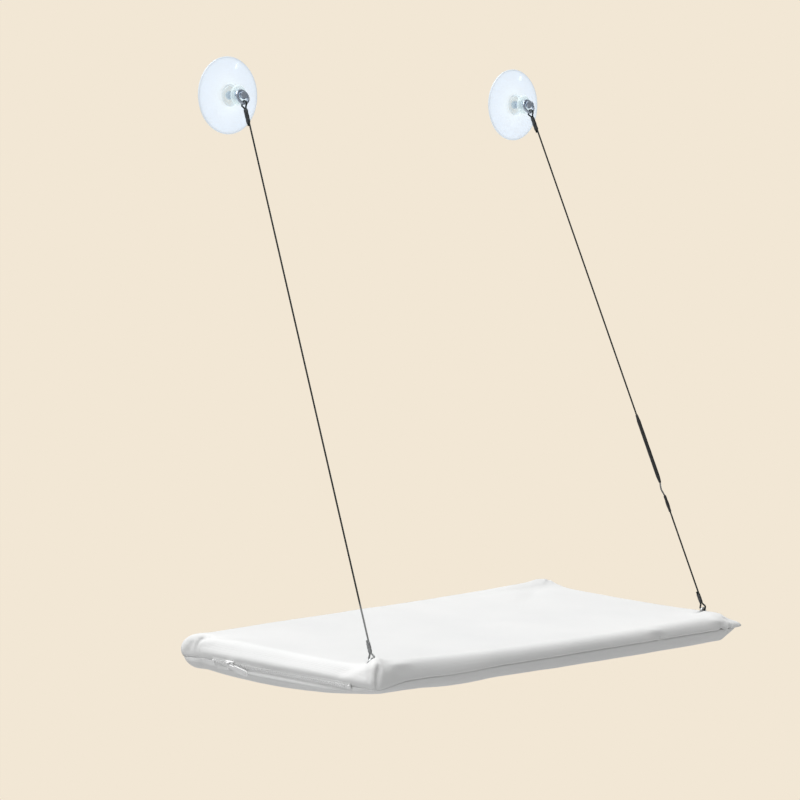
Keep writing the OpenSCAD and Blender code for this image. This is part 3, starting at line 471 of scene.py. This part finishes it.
ring_r, ring_wire_r = 7.5, 1.6
for side, hand in hands:
    place = at_cord(side, ring_r)
    bpy.ops.object.select_all(action="DESELECT")
    bpy.ops.mesh.primitive_torus_add(major_radius=ring_r * mm, minor_radius=ring_wire_r * mm,
                                     major_segments=56, minor_segments=16)
    ring = bpy.context.object
    ring.name = hand + "_ring_wire"
    bpy.ops.object.shade_smooth()
    seat(ring, place @ Matrix.Rotation(math.pi / 2, 4, "X"))
    sleeve = turned(hand + "_ring_sleeve", [(1.62, 0), (2.1, 0), (2.3, 0.25), (2.3, 4.25), (2.1, 4.5),
                                            (1.62, 4.5)], sides=24, closed=True)
    tilt = Matrix.Rotation(math.radians(-side * 66), 4, "Y")
    seat(sleeve, place @ tilt @ Matrix.Translation((-0.00225, 0, -ring_r * mm))
         @ Matrix.Rotation(math.pi / 2, 4, "Y"))
    joined(ring, sleeve)
    ring.data.materials.append(steel)
    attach(ring, "window_hardware")
    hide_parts(hand + "_cord_ring")


# Upper cups
# Each is one moulding of clear soft vinyl that looks milky against the light: a thin dish with a rounded
# rim, a flat land that grips the glass, and a thick boss with the stud's head moulded in. A small pip
# stands near the rim for a fingernail to lift.
cup_height, cup_r = 595, 42


def off_glass(side):
    """The middle of an upper cup, with Z pointing away from the glass."""
    return (Matrix.Translation((side * cup_span / 2 * mm, 0, cup_height * mm))
            @ Matrix.Rotation(math.pi / 2, 4, "X"))


def vinyl_with_painted_glow(name, glow):
    """Milky vinyl, clearer in the boss, with painted light: a painted glow over the dish for daylight through
    the vinyl, and painted shade lines at the boss's edge and where the rim turns away.
    """
    material, tree, surface = principled(name)
    place = node(tree, "ShaderNodeAttribute", attribute_name="reach")
    # Base colour by share of the radius: darker in the boss, with a painted shade line at the boss's edge
    # (0.27) and another at the rim (1.0).
    tree.links.new(colour_ramp(tree, place.outputs["Fac"], [
        (0.0, (0.66, 0.75, 0.80)), (0.22, (0.70, 0.79, 0.83)), (0.27, (0.50, 0.58, 0.62)),
        (0.30, (0.90, 0.95, 0.97)), (0.60, (0.86, 0.91, 0.97)), (0.95, (0.84, 0.90, 0.96)),
        (1.0, (0.72, 0.78, 0.82))]), surface.inputs["Base Color"])
    sight = node(tree, "ShaderNodeMapRange")
    for key, value in (("From Min", 0.2), ("From Max", 0.32), ("To Min", 0.42), ("To Max", 0.80)):
        sight.inputs[key].default_value = value
    tree.links.new(place.outputs["Fac"], sight.inputs["Value"])
    tree.links.new(sight.outputs["Result"], surface.inputs["Alpha"])
    cloud = on_object(tree, "ShaderNodeTexNoise", Scale=38.0, Detail=3.0)
    bump(tree, surface, cloud.outputs["Fac"], 0.25, 0.002)
    # Emission by share of the radius: a painted glow for daylight through the vinyl, strong over the dish and
    # weak in the boss and at the rim.
    tree.links.new(colour_ramp(tree, place.outputs["Fac"], [
        (0.0, (0.36, 0.44, 0.48)), (0.24, (0.50, 0.58, 0.62)), (0.3, (0.88, 0.94, 0.99)),
        (0.93, (0.84, 0.91, 1.0)), (1.0, (0.44, 0.48, 0.52))]), surface.inputs["Emission Color"])
    surface.inputs["Emission Strength"].default_value = glow
    surface.inputs["Roughness"].default_value = 0.16
    surface.inputs["IOR"].default_value = 1.52
    return material


def radius_on_mesh(piece, widest):
    """Keeps each point's distance from the piece's axis Z, as a share of the widest."""
    reach = piece.data.attributes.new("reach", "FLOAT", "POINT")
    reach.data.foreach_set("value", [math.hypot(v.co.x, v.co.y) / (widest * mm)
                                     for v in piece.data.vertices])


# The upper cups' vinyl glows: painted light for the daylight coming through it from behind, with painted shade
# lines at the boss's edge and the rim.
vinyl = vinyl_with_painted_glow("milky_vinyl_painted_glow", 0.42)
boss_r = 11
dish = [(cup_r - (cup_r - boss_r) * k / 10, 2.25 + 3.35 * (k / 10) ** 2) for k in range(10, 0, -1)]
for side, hand in hands:
    cup = turned(hand + "_suction_cup", [
        (4.6, 2.5), (4.6, 5.7), (3.1, 5.7), (3.1, 8.0), (9.2, 8.0), (10.3, 7.7), (10.9, 7.0), (boss_r, 6.0),
        *dish, (40.9, 2.28), (41.6, 2.0), (cup_r, 1.3), (41.8, 0.5), (41.2, 0.05), (36, 0.0), (33, 0.4),
        (30, 0.8), (20, 1.3), (boss_r, 1.6), (0, 1.6)], sides=96)
    bpy.ops.object.select_all(action="DESELECT")
    bpy.ops.mesh.primitive_cube_add(size=1, location=(0, 0, 0))
    pip = bpy.context.object
    bpy.ops.transform.resize(value=(0.0024, 0.005, 0.0017))
    bpy.ops.object.transform_apply(location=True, rotation=True, scale=True)
    edit(pip)
    bpy.ops.mesh.select_all(action="SELECT")
    bpy.ops.mesh.bevel(offset=0.0006, segments=3)
    bpy.ops.object.mode_set(mode="OBJECT")
    bpy.ops.object.shade_smooth()
    seat(pip, Matrix.Rotation(math.radians(-20), 4, "Z") @ Matrix.Translation((0, 0.034, 0.0030)))
    joined(cup, pip)
    radius_on_mesh(cup, cup_r)
    seat(cup, off_glass(side))
    cup.data.materials.append(vinyl)
    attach(cup, "window_hardware")
    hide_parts(hand + "_upper_cup")


# Studs
# An M6 steel stud with a flat head inside the boss, a collar that the knob turns against, and a wider
# cap on its end that keeps the ring from sliding off.
for side, hand in hands:
    stud = turned(hand + "_steel_stud", [
        (4.2, 2.6), (4.5, 2.9), (4.5, 5.3), (4.2, 5.6), (3.0, 5.6), (3.0, 12.4), (4.5, 12.4), (4.7, 12.6),
        (4.7, 14.2), (4.5, 14.4), (3.0, 14.4), (3.0, 26.2), (4.3, 26.2), (4.5, 26.4), (4.5, 27.8),
        (3.7, 28.6)], sides=40)
    seat(stud, off_glass(side))
    stud.data.materials.append(steel)
    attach(stud, "window_hardware")
    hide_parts(hand + "_stud")


# Thumb knobs
# A clear hard plastic disc with a rounded edge, a shallow dish in its face and a short hub behind.
# It turns freely on the stud to work the cup on and off the glass.
clear_plastic, surface = grained("clear_knob_plastic_painted_glow", (0.3, (0.78, 0.88, 0.88)), (0.7, (0.92, 0.98, 0.99)),
                                 0.07, 0.1, 0.001, Scale=120.0, Detail=2.0)
surface.inputs["IOR"].default_value = 1.49
surface.inputs["Alpha"].default_value = 0.45
# The emission is a painted glow, standing in for daylight through the clear plastic.
surface.inputs["Emission Color"].default_value = (0.80, 0.95, 0.97, 1)
surface.inputs["Emission Strength"].default_value = 0.3

knob_r, soft = 10.75, 1.8
bends = [math.radians(a) for a in (0, 22, 45, 68, 90)]
edge = [(knob_r - soft * (1 - math.sin(a)), 18.2 - soft * math.cos(a)) for a in bends]
over = [(knob_r - soft * (1 - math.cos(a)), 19.0 + soft * math.sin(a)) for a in bends]
for side, hand in hands:
    knob = turned(hand + "_clear_knob", [
        (3.05, 15.2), (4.6, 15.2), (5.0, 15.5), (5.0, 16.4), *edge, *over,
        (7.6, 20.7), (6.6, 20.1), (4.4, 20.0), (3.05, 20.3)], sides=64, closed=True)
    seat(knob, off_glass(side))
    knob.data.materials.append(clear_plastic)
    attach(knob, hand + "_knob")
    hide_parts(hand + "_thumb_knob")


# Screw eyes
# Zinc plated steel eyes screwed down into the front elbows through a hole in the fabric. Their solids keep
# their shape.
def refinish(name, finish):
    """Gives a piece that keeps its solid a new finish."""
    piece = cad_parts[name]
    piece.data.materials.clear()
    piece.data.materials.append(finish)


zinc = recoloured(steel, "pale_zinc", (0.58, 0.60, 0.61), (0.80, 0.81, 0.82))
for hand in ("left", "right"):
    refinish(hand + "_screw_eye", zinc)


# Pipes and elbows
# Four white plastic pipes pushed onto four bent elbows make the frame that keeps the bed flat.
# They lie inside the cover. The plastic is extruded, with a faint grain and a dull sheen.
pipe_plastic, _ = grained("white_pipe_plastic", (0.3, (0.76, 0.76, 0.74)), (0.7, (0.86, 0.86, 0.85)),
                          0.4, 0.12, 0.0004, Scale=160.0, Detail=4.0)
for name in ("rear_pipe", "front_pipe", "left_pipe", "right_pipe", "rear_left_elbow", "rear_right_elbow",
             "front_left_elbow", "front_right_elbow"):
    refinish(name, pipe_plastic)


# Fabric cover
# A bag of smooth white woven polyester, pulled over the frame and the mat. The top half rolls over the
# pipes down to a seam below their middle, and the bottom half closes it. It was cut square and the frame's
# corners are round, so its spare corners stand off as a flap, a pointed ear and soft folds.
bed_middle, half_w, half_d = -159, 286, 143
roll_r, wall = 11.7, 1.2
pipe_x, pipe_y, pipe_z = half_w - roll_r, half_d - roll_r, -1.5
corners = ((1, 1), (-1, 1), (-1, -1), (1, -1))
# Heights of each panel at its corners (rear left, rear right, front left, front right), at the middles of its
# sides (rear, front, left, right), of its crown, and of the lift at each corner
top_form = dict(corner=(16.5, 17, 13.5, 12.5), mid=(19, 11, 13, 12.5), crown=3.5, lift=(0, 9.5, 5.5, 0))
bottom_form = dict(corner=(-22.5, -18.5, -14.5, -18.5), mid=(-18.5, -18.5, -26, -19), crown=-2,
                   lift=(0, 0, 0, 0))


def panel_height(x, y, corner, mid, crown, lift):
    """Height of a panel over the frame, from its corners, its middles, its crown and its lifted corners."""
    u = max(-1, min(1, x / pipe_x))
    v = max(-1, min(1, (y - bed_middle) / pipe_y))
    rear, front, east, west = (1 + v) / 2, (1 - v) / 2, (1 + u) / 2, (1 - u) / 2
    return (corner[0] * rear * west + corner[1] * rear * east
            + corner[2] * front * west + corner[3] * front * east
            + (1 - u * u) * rear * (mid[0] - (corner[0] + corner[1]) / 2)
            + (1 - u * u) * front * (mid[1] - (corner[2] + corner[3]) / 2)
            + (1 - v * v) * west * (mid[2] - (corner[0] + corner[2]) / 2)
            + (1 - v * v) * east * (mid[3] - (corner[1] + corner[3]) / 2)
            + (1 - u * u) * (1 - v * v) * crown
            + lift[0] * rear ** 40 * west ** 4 + lift[1] * rear ** 40 * east ** 4
            + lift[2] * front ** 40 * west ** 4 + lift[3] * front ** 40 * east ** 4)


zip_height = -9


def seam_height(x):
    """Height of the seam: low along the zip in the left end, and higher along the other sides."""
    rise = max(0.0, min(1.0, (x + 280) / 45))
    return zip_height + 4.8 * rise * rise * (3 - 2 * rise)


def outline(inset, ears, half_w=half_w, half_d=half_d, radii=(26, 16, 16, 16)):
    """Points round the bed: four corner arcs, each with its ear, and the sides between them."""
    points = []
    arcs = []
    arc_steps = 24
    for k, (sx, sy) in enumerate(corners):
        arc = []
        for j in range(arc_steps + 1):
            turn = math.radians(90 * k + 90 * j / arc_steps)
            peak = 1 - abs(2 * j / arc_steps - 1)
            reach = radii[k] - inset + ears[k] * peak * peak
            arc.append((sx * (half_w - radii[k]) + reach * math.cos(turn),
                        bed_middle + sy * (half_d - radii[k]) + reach * math.sin(turn)))
        arcs.append(arc)
    for k in range(4):
        points += arcs[k]
        last, following = arcs[k][-1], arcs[(k + 1) % 4][0]
        steps = (90, 46, 90, 46)[k]
        points += [(last[0] + (following[0] - last[0]) * j / steps,
                    last[1] + (following[1] - last[1]) * j / steps) for j in range(1, steps)]
    return points


def roll_ring(degrees):
    """One ring of the cover where its fabric rolls over the pipe, at an angle round the pipe."""
    a = math.radians(degrees)
    lean = max(0.0, math.cos(a))
    ears = (4 * lean ** 2, 18 * math.sqrt(lean), 4 * lean ** 2, 14 * lean ** 4)
    ring = []
    for x, y in outline(roll_r * (1 - lean), ears):
        seam = seam_height(x)
        if degrees >= 0:
            z = pipe_z + (panel_height(x, y, **top_form) - pipe_z) * math.sin(a)
        elif degrees >= -30:
            z = pipe_z + (seam - pipe_z) * math.sin(a) / -0.5
        else:
            z = seam - (seam - panel_height(x, y, **bottom_form)) * (math.sin(a) + 0.5) / -0.5
        ring.append(Vector((x, y, z)))
    return ring


def panel_ring(share, form):
    """One ring of a panel between the pipes, at a share of the way out from its middle."""
    return [Vector((x * share, bed_middle + (y - bed_middle) * share,
                    panel_height(x * share, bed_middle + (y - bed_middle) * share, **form)))
            for x, y in outline(roll_r, (0, 0, 0, 0))]


# Folds in the cloth, each from one point to another, with its width and its height in mm. A negative
# height is a tuck.
folds = [
    # Peak of the front left corner, and the folds that the cord's pull draws from it down to the left end
    ((-275, -292, 15), (-270, -285, 16), 8, 4.2),
    ((-263, -283, 15), (-263, -268, 16), 9, 1.7),
    ((-275, -279, 14), (-286, -246, 0), 5, -1.2),
    ((-280, -294, 13), (-286, -256, -3), 4, 1.3),
    ((-280, -295, 14), (-285, -297, -2), 3.6, 1.8),
    # Tuck down that corner, the puff beside it, and the taut edge of the top past the puff
    ((-277.5, -297.5, 13), (-281, -300, 5), 2.6, -3.6),
    ((-281, -300, 5), (-283, -300, -9), 2.8, -3.2),
    ((-270, -300, 9), (-262, -301, 6), 5.5, 2.6),
    ((-264, -297, 12.5), (-236, -298, 12.5), 4, 2.2),
    # Crease in the flap at the back left corner, and the fold that curves from it over the top
    ((-289.3, -20.6, 7), (-291.8, -17.2, -3.5), 1.5, -2.2),
    ((-288.6, -26, -1), (-287.2, -27, 5), 1.6, -0.9),
    ((-287.2, -27, 5), (-283.9, -29, 10.5), 1.7, -1.8),
    ((-283.9, -29, 10.5), (-280.5, -38, 13.3), 1.9, -2.0),
    ((-280.5, -38, 13.3), (-272.3, -63, 15.2), 4, -1.9),
    ((-272.3, -63, 15.2), (-250, -92, 15.2), 8, -1.5),
    ((-285, -31, 7), (-279, -50, 12.5), 4, 1.2),
    ((-293, -12, 5), (-294, -11, -4), 4, 0.8),
    # Tuck below the zip, and the rounded band of cloth under it
    ((-290, -13, -9), (-284, -34, -13), 2.2, -1.6),
    ((-284, -34, -12.5), (-282.5, -104, -13.5), 2, -0.9),
    ((-282.5, -104, -13.5), (-283, -187, -12.8), 2, -0.9),
    ((-283, -187, -12.8), (-285, -297, -6), 2, -1.1),
    ((-288, -16, -12.5), (-283, -60, -16), 2.8, 3.0),
    ((-283, -60, -16), (-283, -275, -15.5), 2.8, 4.2),
    # The roll over the left end hangs a little loose above the zip
    ((-286, -36, -1.5), (-286, -286, -1.5), 5, 2.8),
    # Puckers that the slider's pull leaves
    ((-285, -93, -1), (-281, -95, 9), 3.2, 1.1),
    ((-285, -103, -1), (-281, -105, 8), 3.2, 1.0),
    ((-285, -113, -1), (-281, -116, 7), 3.6, 0.8),
    # The back right corner's peak leans back from the corner, over a shallow fold
    ((274, -24, 25), (268, -20, 25), 10, -3.5),
    ((240, -30, 20), (256, -28, 22), 10, 1.8),
    ((150, -98, 18), (236, -40, 20), 12, -1.6),
    # Dimple in the front edge, with its lip
    ((150, -301.5, 2), (158, -302, -2), 4, -2.4),
    ((141, -299, 7), (154, -301, 5), 4, 1.5),
    # Folds that gather the spare corner into the ear at the front right
    ((247, -293, 11.5), (265, -301.5, 2), 2.6, -2.0),
    ((252, -298.5, 8), (263, -302, 3.5), 3, 2.4),
    ((265.5, -301.6, 2), (264.5, -301, -8), 2.4, -2.6),
    ((271, -303, 3), (270, -302, -6), 3, 2.6),
    ((277, -303.5, -1), (273, -303, -8), 2.4, -1.6),
    ((262, -283, 13), (263, -270, 13), 8, 3.0),
    ((276, -293, 13), (292, -301, 6), 7, -2.6),
    ((262, -292, 13), (277, -302, 5), 2.2, -1.6),
    ((252, -300, -17), (272, -299, -15), 6, -1.2),
    # Slack in the front edge
    ((-190, -296, -14), (-130, -296, -15), 16, 2.2),
]


def folded(point, normal):
    """Moves a point of the cloth by the folds near it, and by the slight unevenness of loose cloth."""
    move = 0.35 * noise.noise(point / 38) + 0.14 * noise.noise(point / 13 + Vector((7, 3, 1)))
    for start, end, width, height in folds:
        a, b = Vector(start), Vector(end)
        line = b - a
        t = max(0.0, min(1.0, (point - a).dot(line) / line.length_squared))
        away = (point - (a + line * t)).length / width
        if away < 3:
            taper = math.sin(math.pi * (0.12 + 0.76 * t)) ** 0.6
            move += height * math.exp(-away * away) * taper
    return point + normal * move


def cloth_shell(name, middle, rings, downward):
    """A shell of cloth through rings of points, folded along its own normals and given a thickness."""
    count = len(rings[0])
    mesh = bpy.data.meshes.new(name)
    shell = bmesh.new()
    centre = shell.verts.new(middle)
    rows = [[shell.verts.new(p) for p in ring] for ring in rings]
    for j in range(count):
        shell.faces.new((centre, rows[0][j], rows[0][(j + 1) % count]))
    for inner, outer in zip(rows, rows[1:]):
        for j in range(count):
            k = (j + 1) % count
            shell.faces.new((inner[j], outer[j], outer[k], inner[k]))
    bmesh.ops.remove_doubles(shell, verts=shell.verts, dist=0.01)
    if downward:
        bmesh.ops.reverse_faces(shell, faces=shell.faces)
    shell.normal_update()
    moved = [folded(v.co.copy(), v.normal) for v in shell.verts]
    for v, p in zip(shell.verts, moved):
        v.co = p * mm
    for f in shell.faces:
        f.smooth = True
    shell.to_mesh(mesh)
    shell.free()
    piece = bpy.data.objects.new(name, mesh)
    bpy.context.collection.objects.link(piece)
    pick(piece)
    thick = piece.modifiers.new("cloth thickness", "SOLIDIFY")
    thick.thickness = wall * mm
    thick.offset = -1
    bpy.ops.object.modifier_apply(modifier=thick.name)
    return piece


def cut_away(piece, cutters):
    """Cuts each cutter's shape out of a piece."""
    for cutter in cutters:
        pick(piece)
        hole = piece.modifiers.new("opening", "BOOLEAN")
        hole.operation = "DIFFERENCE"
        hole.solver = "EXACT"
        hole.object = cutter
        bpy.ops.object.modifier_apply(modifier=hole.name)
        bpy.data.objects.remove(cutter)


# Distance of each pipe clip, and of the cup that it snaps onto, from the middle of the bed
clip_x = 130


def placed(cutter, spot, size):
    """Puts a cutter at a spot in mm and scales it there."""
    cutter.matrix_world = Matrix.Translation(Vector(spot) * mm) @ Matrix.Diagonal((*size, 1))
    bpy.context.view_layer.update()
    return cutter


def clip_slot_cutters():
    """Blocks for the two slots in the back edge where the clips hold the pipe."""
    cutters = []
    for side, _ in hands:
        bpy.ops.mesh.primitive_cube_add(size=1, location=(0, 0, 0))
        cutters.append(placed(bpy.context.object, (side * clip_x, -22.6, -11.5), (0.021, 0.0152, 0.050)))
    return cutters


def eye_hole_cutters():
    """Oval rods for the two holes that the screw eyes go down through."""
    cutters = []
    for side, _ in hands:
        bpy.ops.mesh.primitive_cylinder_add(vertices=32, radius=0.006, depth=0.024, location=(0, 0, 0))
        cutters.append(placed(bpy.context.object, (side * eye_x, eye_y, 15.5), (1, 0.6, 1)))
    return cutters


weave, tree, surface = principled("white_weave")
warp, weft, upright = (on_object(tree, "ShaderNodeTexWave", wave_type="BANDS", bands_direction=axis,
                                 Scale=270.0, Distortion=1.2, Detail=1.0) for axis in "XYZ")
crossing = node(tree, "ShaderNodeMath", operation="ADD")
tree.links.new(warp.outputs["Fac"], crossing.inputs[0])
tree.links.new(weft.outputs["Fac"], crossing.inputs[1])
threads = node(tree, "ShaderNodeMath", operation="ADD")
tree.links.new(crossing.outputs[0], threads.inputs[0])
tree.links.new(upright.outputs["Fac"], threads.inputs[1])
soil = on_object(tree, "ShaderNodeTexNoise", Scale=9.0, Detail=4.0)
cloth_white = [(0.3, (0.865, 0.868, 0.866)), (0.7, (0.91, 0.91, 0.905))]
tree.links.new(colour_ramp(tree, soil.outputs["Fac"], cloth_white), surface.inputs["Base Color"])
bump(tree, surface, threads.outputs[0], 0.22, 0.0003)
surface.inputs["Roughness"].default_value = 0.78
surface.inputs["Sheen Weight"].default_value = 0.15
surface.inputs["Specular IOR Level"].default_value = 0.25

top_rings = [panel_ring(k / 22, top_form) for k in range(1, 22)] + [roll_ring(90 - 6 * k) for k in range(21)]
top_crown = Vector((0, bed_middle, panel_height(0, bed_middle, **top_form)))
top_half = cloth_shell("cover_upper_half", top_crown, top_rings, False)
cut_away(top_half, clip_slot_cutters() + eye_hole_cutters())
seam_gap = 0.3
bottom_rings = ([panel_ring(k / 14, bottom_form) for k in range(1, 14)]
                + [roll_ring(-90 + 5 * k) for k in range(13)])
for ring in bottom_rings:
    for point in ring:
        point.z -= seam_gap
bottom_crown = Vector((0, bed_middle, panel_height(0, bed_middle, **bottom_form) - seam_gap))
bottom_half = cloth_shell("cover_lower_half", bottom_crown, bottom_rings, True)
cut_away(bottom_half, clip_slot_cutters())
for half, cad in ((top_half, "cover_top"), (bottom_half, "cover_bottom")):
    half.data.materials.clear()
    half.data.materials.append(weave)
    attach(half, "bed")
    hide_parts(cad)


# Foam mat
# A sheet of open foam cut to the inside of the frame. It carries the cat between the pipes, and its cut
# edge bulges a little. It is hidden in the cover.
# Distance from each panel's outer face to the mat
under_cloth = 2


def mat_ring(share, level):
    """One ring of the mat, at a share of its outline and a level from its bottom (0) to its top (1)."""
    ring = []
    for x, y in outline(0, (0, 0, 0, 0), 259.3, 116.3, (30, 30, 30, 30)):
        x, y = x * share, bed_middle + (y - bed_middle) * share
        low = panel_height(x, y, **bottom_form) + under_cloth
        high = panel_height(x, y, **top_form) - under_cloth
        ring.append(Vector((x, y, low + (high - low) * level)))
    return ring


edge_rings = ((0.96, 0.99), (0.985, 0.94), (1.0, 0.8), (1.004, 0.5), (1.0, 0.2), (0.985, 0.06), (0.96, 0.01))
mat_rings = ([mat_ring(k / 10, 1) for k in range(1, 10)] + [mat_ring(*at) for at in edge_rings]
             + [mat_ring(k / 10, 0) for k in range(9, 0, -1)])
mat_mesh = bmesh.new()
rows = [[mat_mesh.verts.new(p * mm) for p in ring] for ring in mat_rings]
for upper_row, lower_row in zip(rows, rows[1:]):
    for j in range(len(upper_row)):
        k = (j + 1) % len(upper_row)
        mat_mesh.faces.new((upper_row[j], lower_row[j], lower_row[k], upper_row[k]))
mat_mesh.faces.new(rows[0])
mat_mesh.faces.new(rows[-1][::-1])
for f in mat_mesh.faces:
    f.smooth = True
bmesh.ops.recalc_face_normals(mat_mesh, faces=mat_mesh.faces)
foam_shape = bpy.data.meshes.new("foam_pad")
mat_mesh.to_mesh(foam_shape)
mat_mesh.free()
mat = bpy.data.objects.new("foam_pad", foam_shape)
bpy.context.collection.objects.link(mat)
open_foam, tree, surface = principled("open_foam")
cells = on_object(tree, "ShaderNodeTexVoronoi", Scale=420.0).outputs["Distance"]
tree.links.new(colour_ramp(tree, cells, [(0.1, (0.55, 0.56, 0.55)), (0.6, (0.78, 0.79, 0.78))]),
               surface.inputs["Base Color"])
bump(tree, surface, cells, 0.6, 0.0008)
surface.inputs["Roughness"].default_value = 0.95
mat.data.materials.append(open_foam)
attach(mat, "bed")
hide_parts("foam_mat")


# Zip
# A closed zip runs along the seam in the bed's left end: woven tape, two rows of moulded teeth that lock
# into each other, and a stop at each end. Slider and pull tab are glossy white plastic.
zip_x, zip_tilt = -(pipe_x + roll_r * math.cos(math.radians(30))), math.radians(-18)


def on_zip(y, off=0.0, z=0.0):
    """A place along the zip, with -X off the fabric, Y along the zip and Z across it."""
    return (Matrix.Translation((zip_x * mm, y * mm, zip_height * mm)) @ Matrix.Rotation(zip_tilt, 4, "Y")
            @ Matrix.Translation((-off * mm, 0, z * mm)))


def block(name, long, wide, thick, soft):
    """A moulded block with its edges rounded: thick along X, long along Y, wide along Z."""
    bpy.ops.object.select_all(action="DESELECT")
    bpy.ops.mesh.primitive_cube_add(size=1, location=(0, 0, 0))
    piece = bpy.context.object
    piece.name = piece.data.name = name
    bpy.ops.transform.resize(value=(thick * mm, long * mm, wide * mm))
    bpy.ops.object.transform_apply(location=True, rotation=True, scale=True)
    edit(piece)
    bpy.ops.mesh.select_all(action="SELECT")
    bpy.ops.mesh.bevel(offset=soft * mm, segments=2)
    bpy.ops.object.mode_set(mode="OBJECT")
    bpy.ops.object.shade_smooth_by_angle(angle=math.radians(45))
    return piece


tape = seat(block("zip_cloth", 214, 8, 0.8, 0.25), on_zip(bed_middle, 0.9))
tape.data.materials.append(weave)
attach(tape, "bed")
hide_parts("zip_tape")

gloss, _ = grained("glossy_white_plastic", (0.3, (0.93, 0.93, 0.93)), (0.7, (0.97, 0.97, 0.97)),
                   0.18, 0.08, 0.0003, Scale=210.0, Detail=3.0)

tooth_count, tooth_pitch, row_off = 138, 1.5, 0.95
first_tooth = block("zip_teeth", 1.15, 2.1, 1.5, 0.3)
teeth = [first_tooth]
for k in range(1, tooth_count):
    tooth = bpy.data.objects.new(f"tooth_{k}", first_tooth.data.copy())
    bpy.context.collection.objects.link(tooth)
    teeth.append(tooth)
for k, tooth in enumerate(teeth):
    y = bed_middle + (k - (tooth_count - 1) / 2) * tooth_pitch
    seat(tooth, on_zip(y, 2.08, row_off if k % 2 else -row_off))
stop_ends = [seat(block(f"zip_stop_{way + 2}", 3, 4.4, 1.9, 0.4), on_zip(bed_middle + way * 105.5, 2.3))
             for way in (-1, 1)]
row = joined(*teeth, *stop_ends)
row.data.materials.clear()
row.data.materials.append(gloss)
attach(row, "bed")
for name in ("zip_slider", "zip_pull"):
    refinish(name, gloss)
    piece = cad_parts[name]
    weld = piece.modifiers.new("one skin", "WELD")
    weld.merge_threshold = 0.000005
    soften = piece.modifiers.new("moulded edges", "BEVEL")
    soften.width = 0.00025
    soften.segments = 2
    soften.limit_method = "ANGLE"
    soften.angle_limit = math.radians(40)


# Lower cups and pipe clips
# Two small clear cups behind the back pipe, each with a button that a white clip snaps on. The clips hold
# the back pipe and let it turn as the bed folds. The photograph does not show them.
# Their vinyl has the same painted glow and painted shade lines as the upper cups' vinyl.
low_vinyl = vinyl_with_painted_glow("lower_cup_vinyl_painted_glow", 0.35)
low_cup_r, low_cup_height = 22, -16
for side, hand in hands:
    cup = turned(hand + "_small_cup", [
        (4.7, 12.0), (5.0, 11.7), (5.0, 9.9), (4.7, 9.6), (3.5, 9.6), (3.5, 6.0), (8.0, 5.9), (8.0, 5.0),
        (12, 3.0), (16, 1.75), (20, 1.25), (21.4, 1.2), (low_cup_r, 0.7), (21.6, 0.05), (18, 0), (14, 0.8),
        (8, 1.0), (0, 1.0)], sides=72)
    radius_on_mesh(cup, low_cup_r)
    seat(cup, Matrix.Translation((side * clip_x * mm, 0, low_cup_height * mm))
         @ Matrix.Rotation(math.pi / 2, 4, "X"))
    cup.data.materials.append(low_vinyl)
    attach(cup, "window_hardware")
    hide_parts(hand + "_lower_cup")
    refinish(hand + "_pipe_clip", pipe_plastic)

bpy.ops.object.select_all(action="DESELECT")
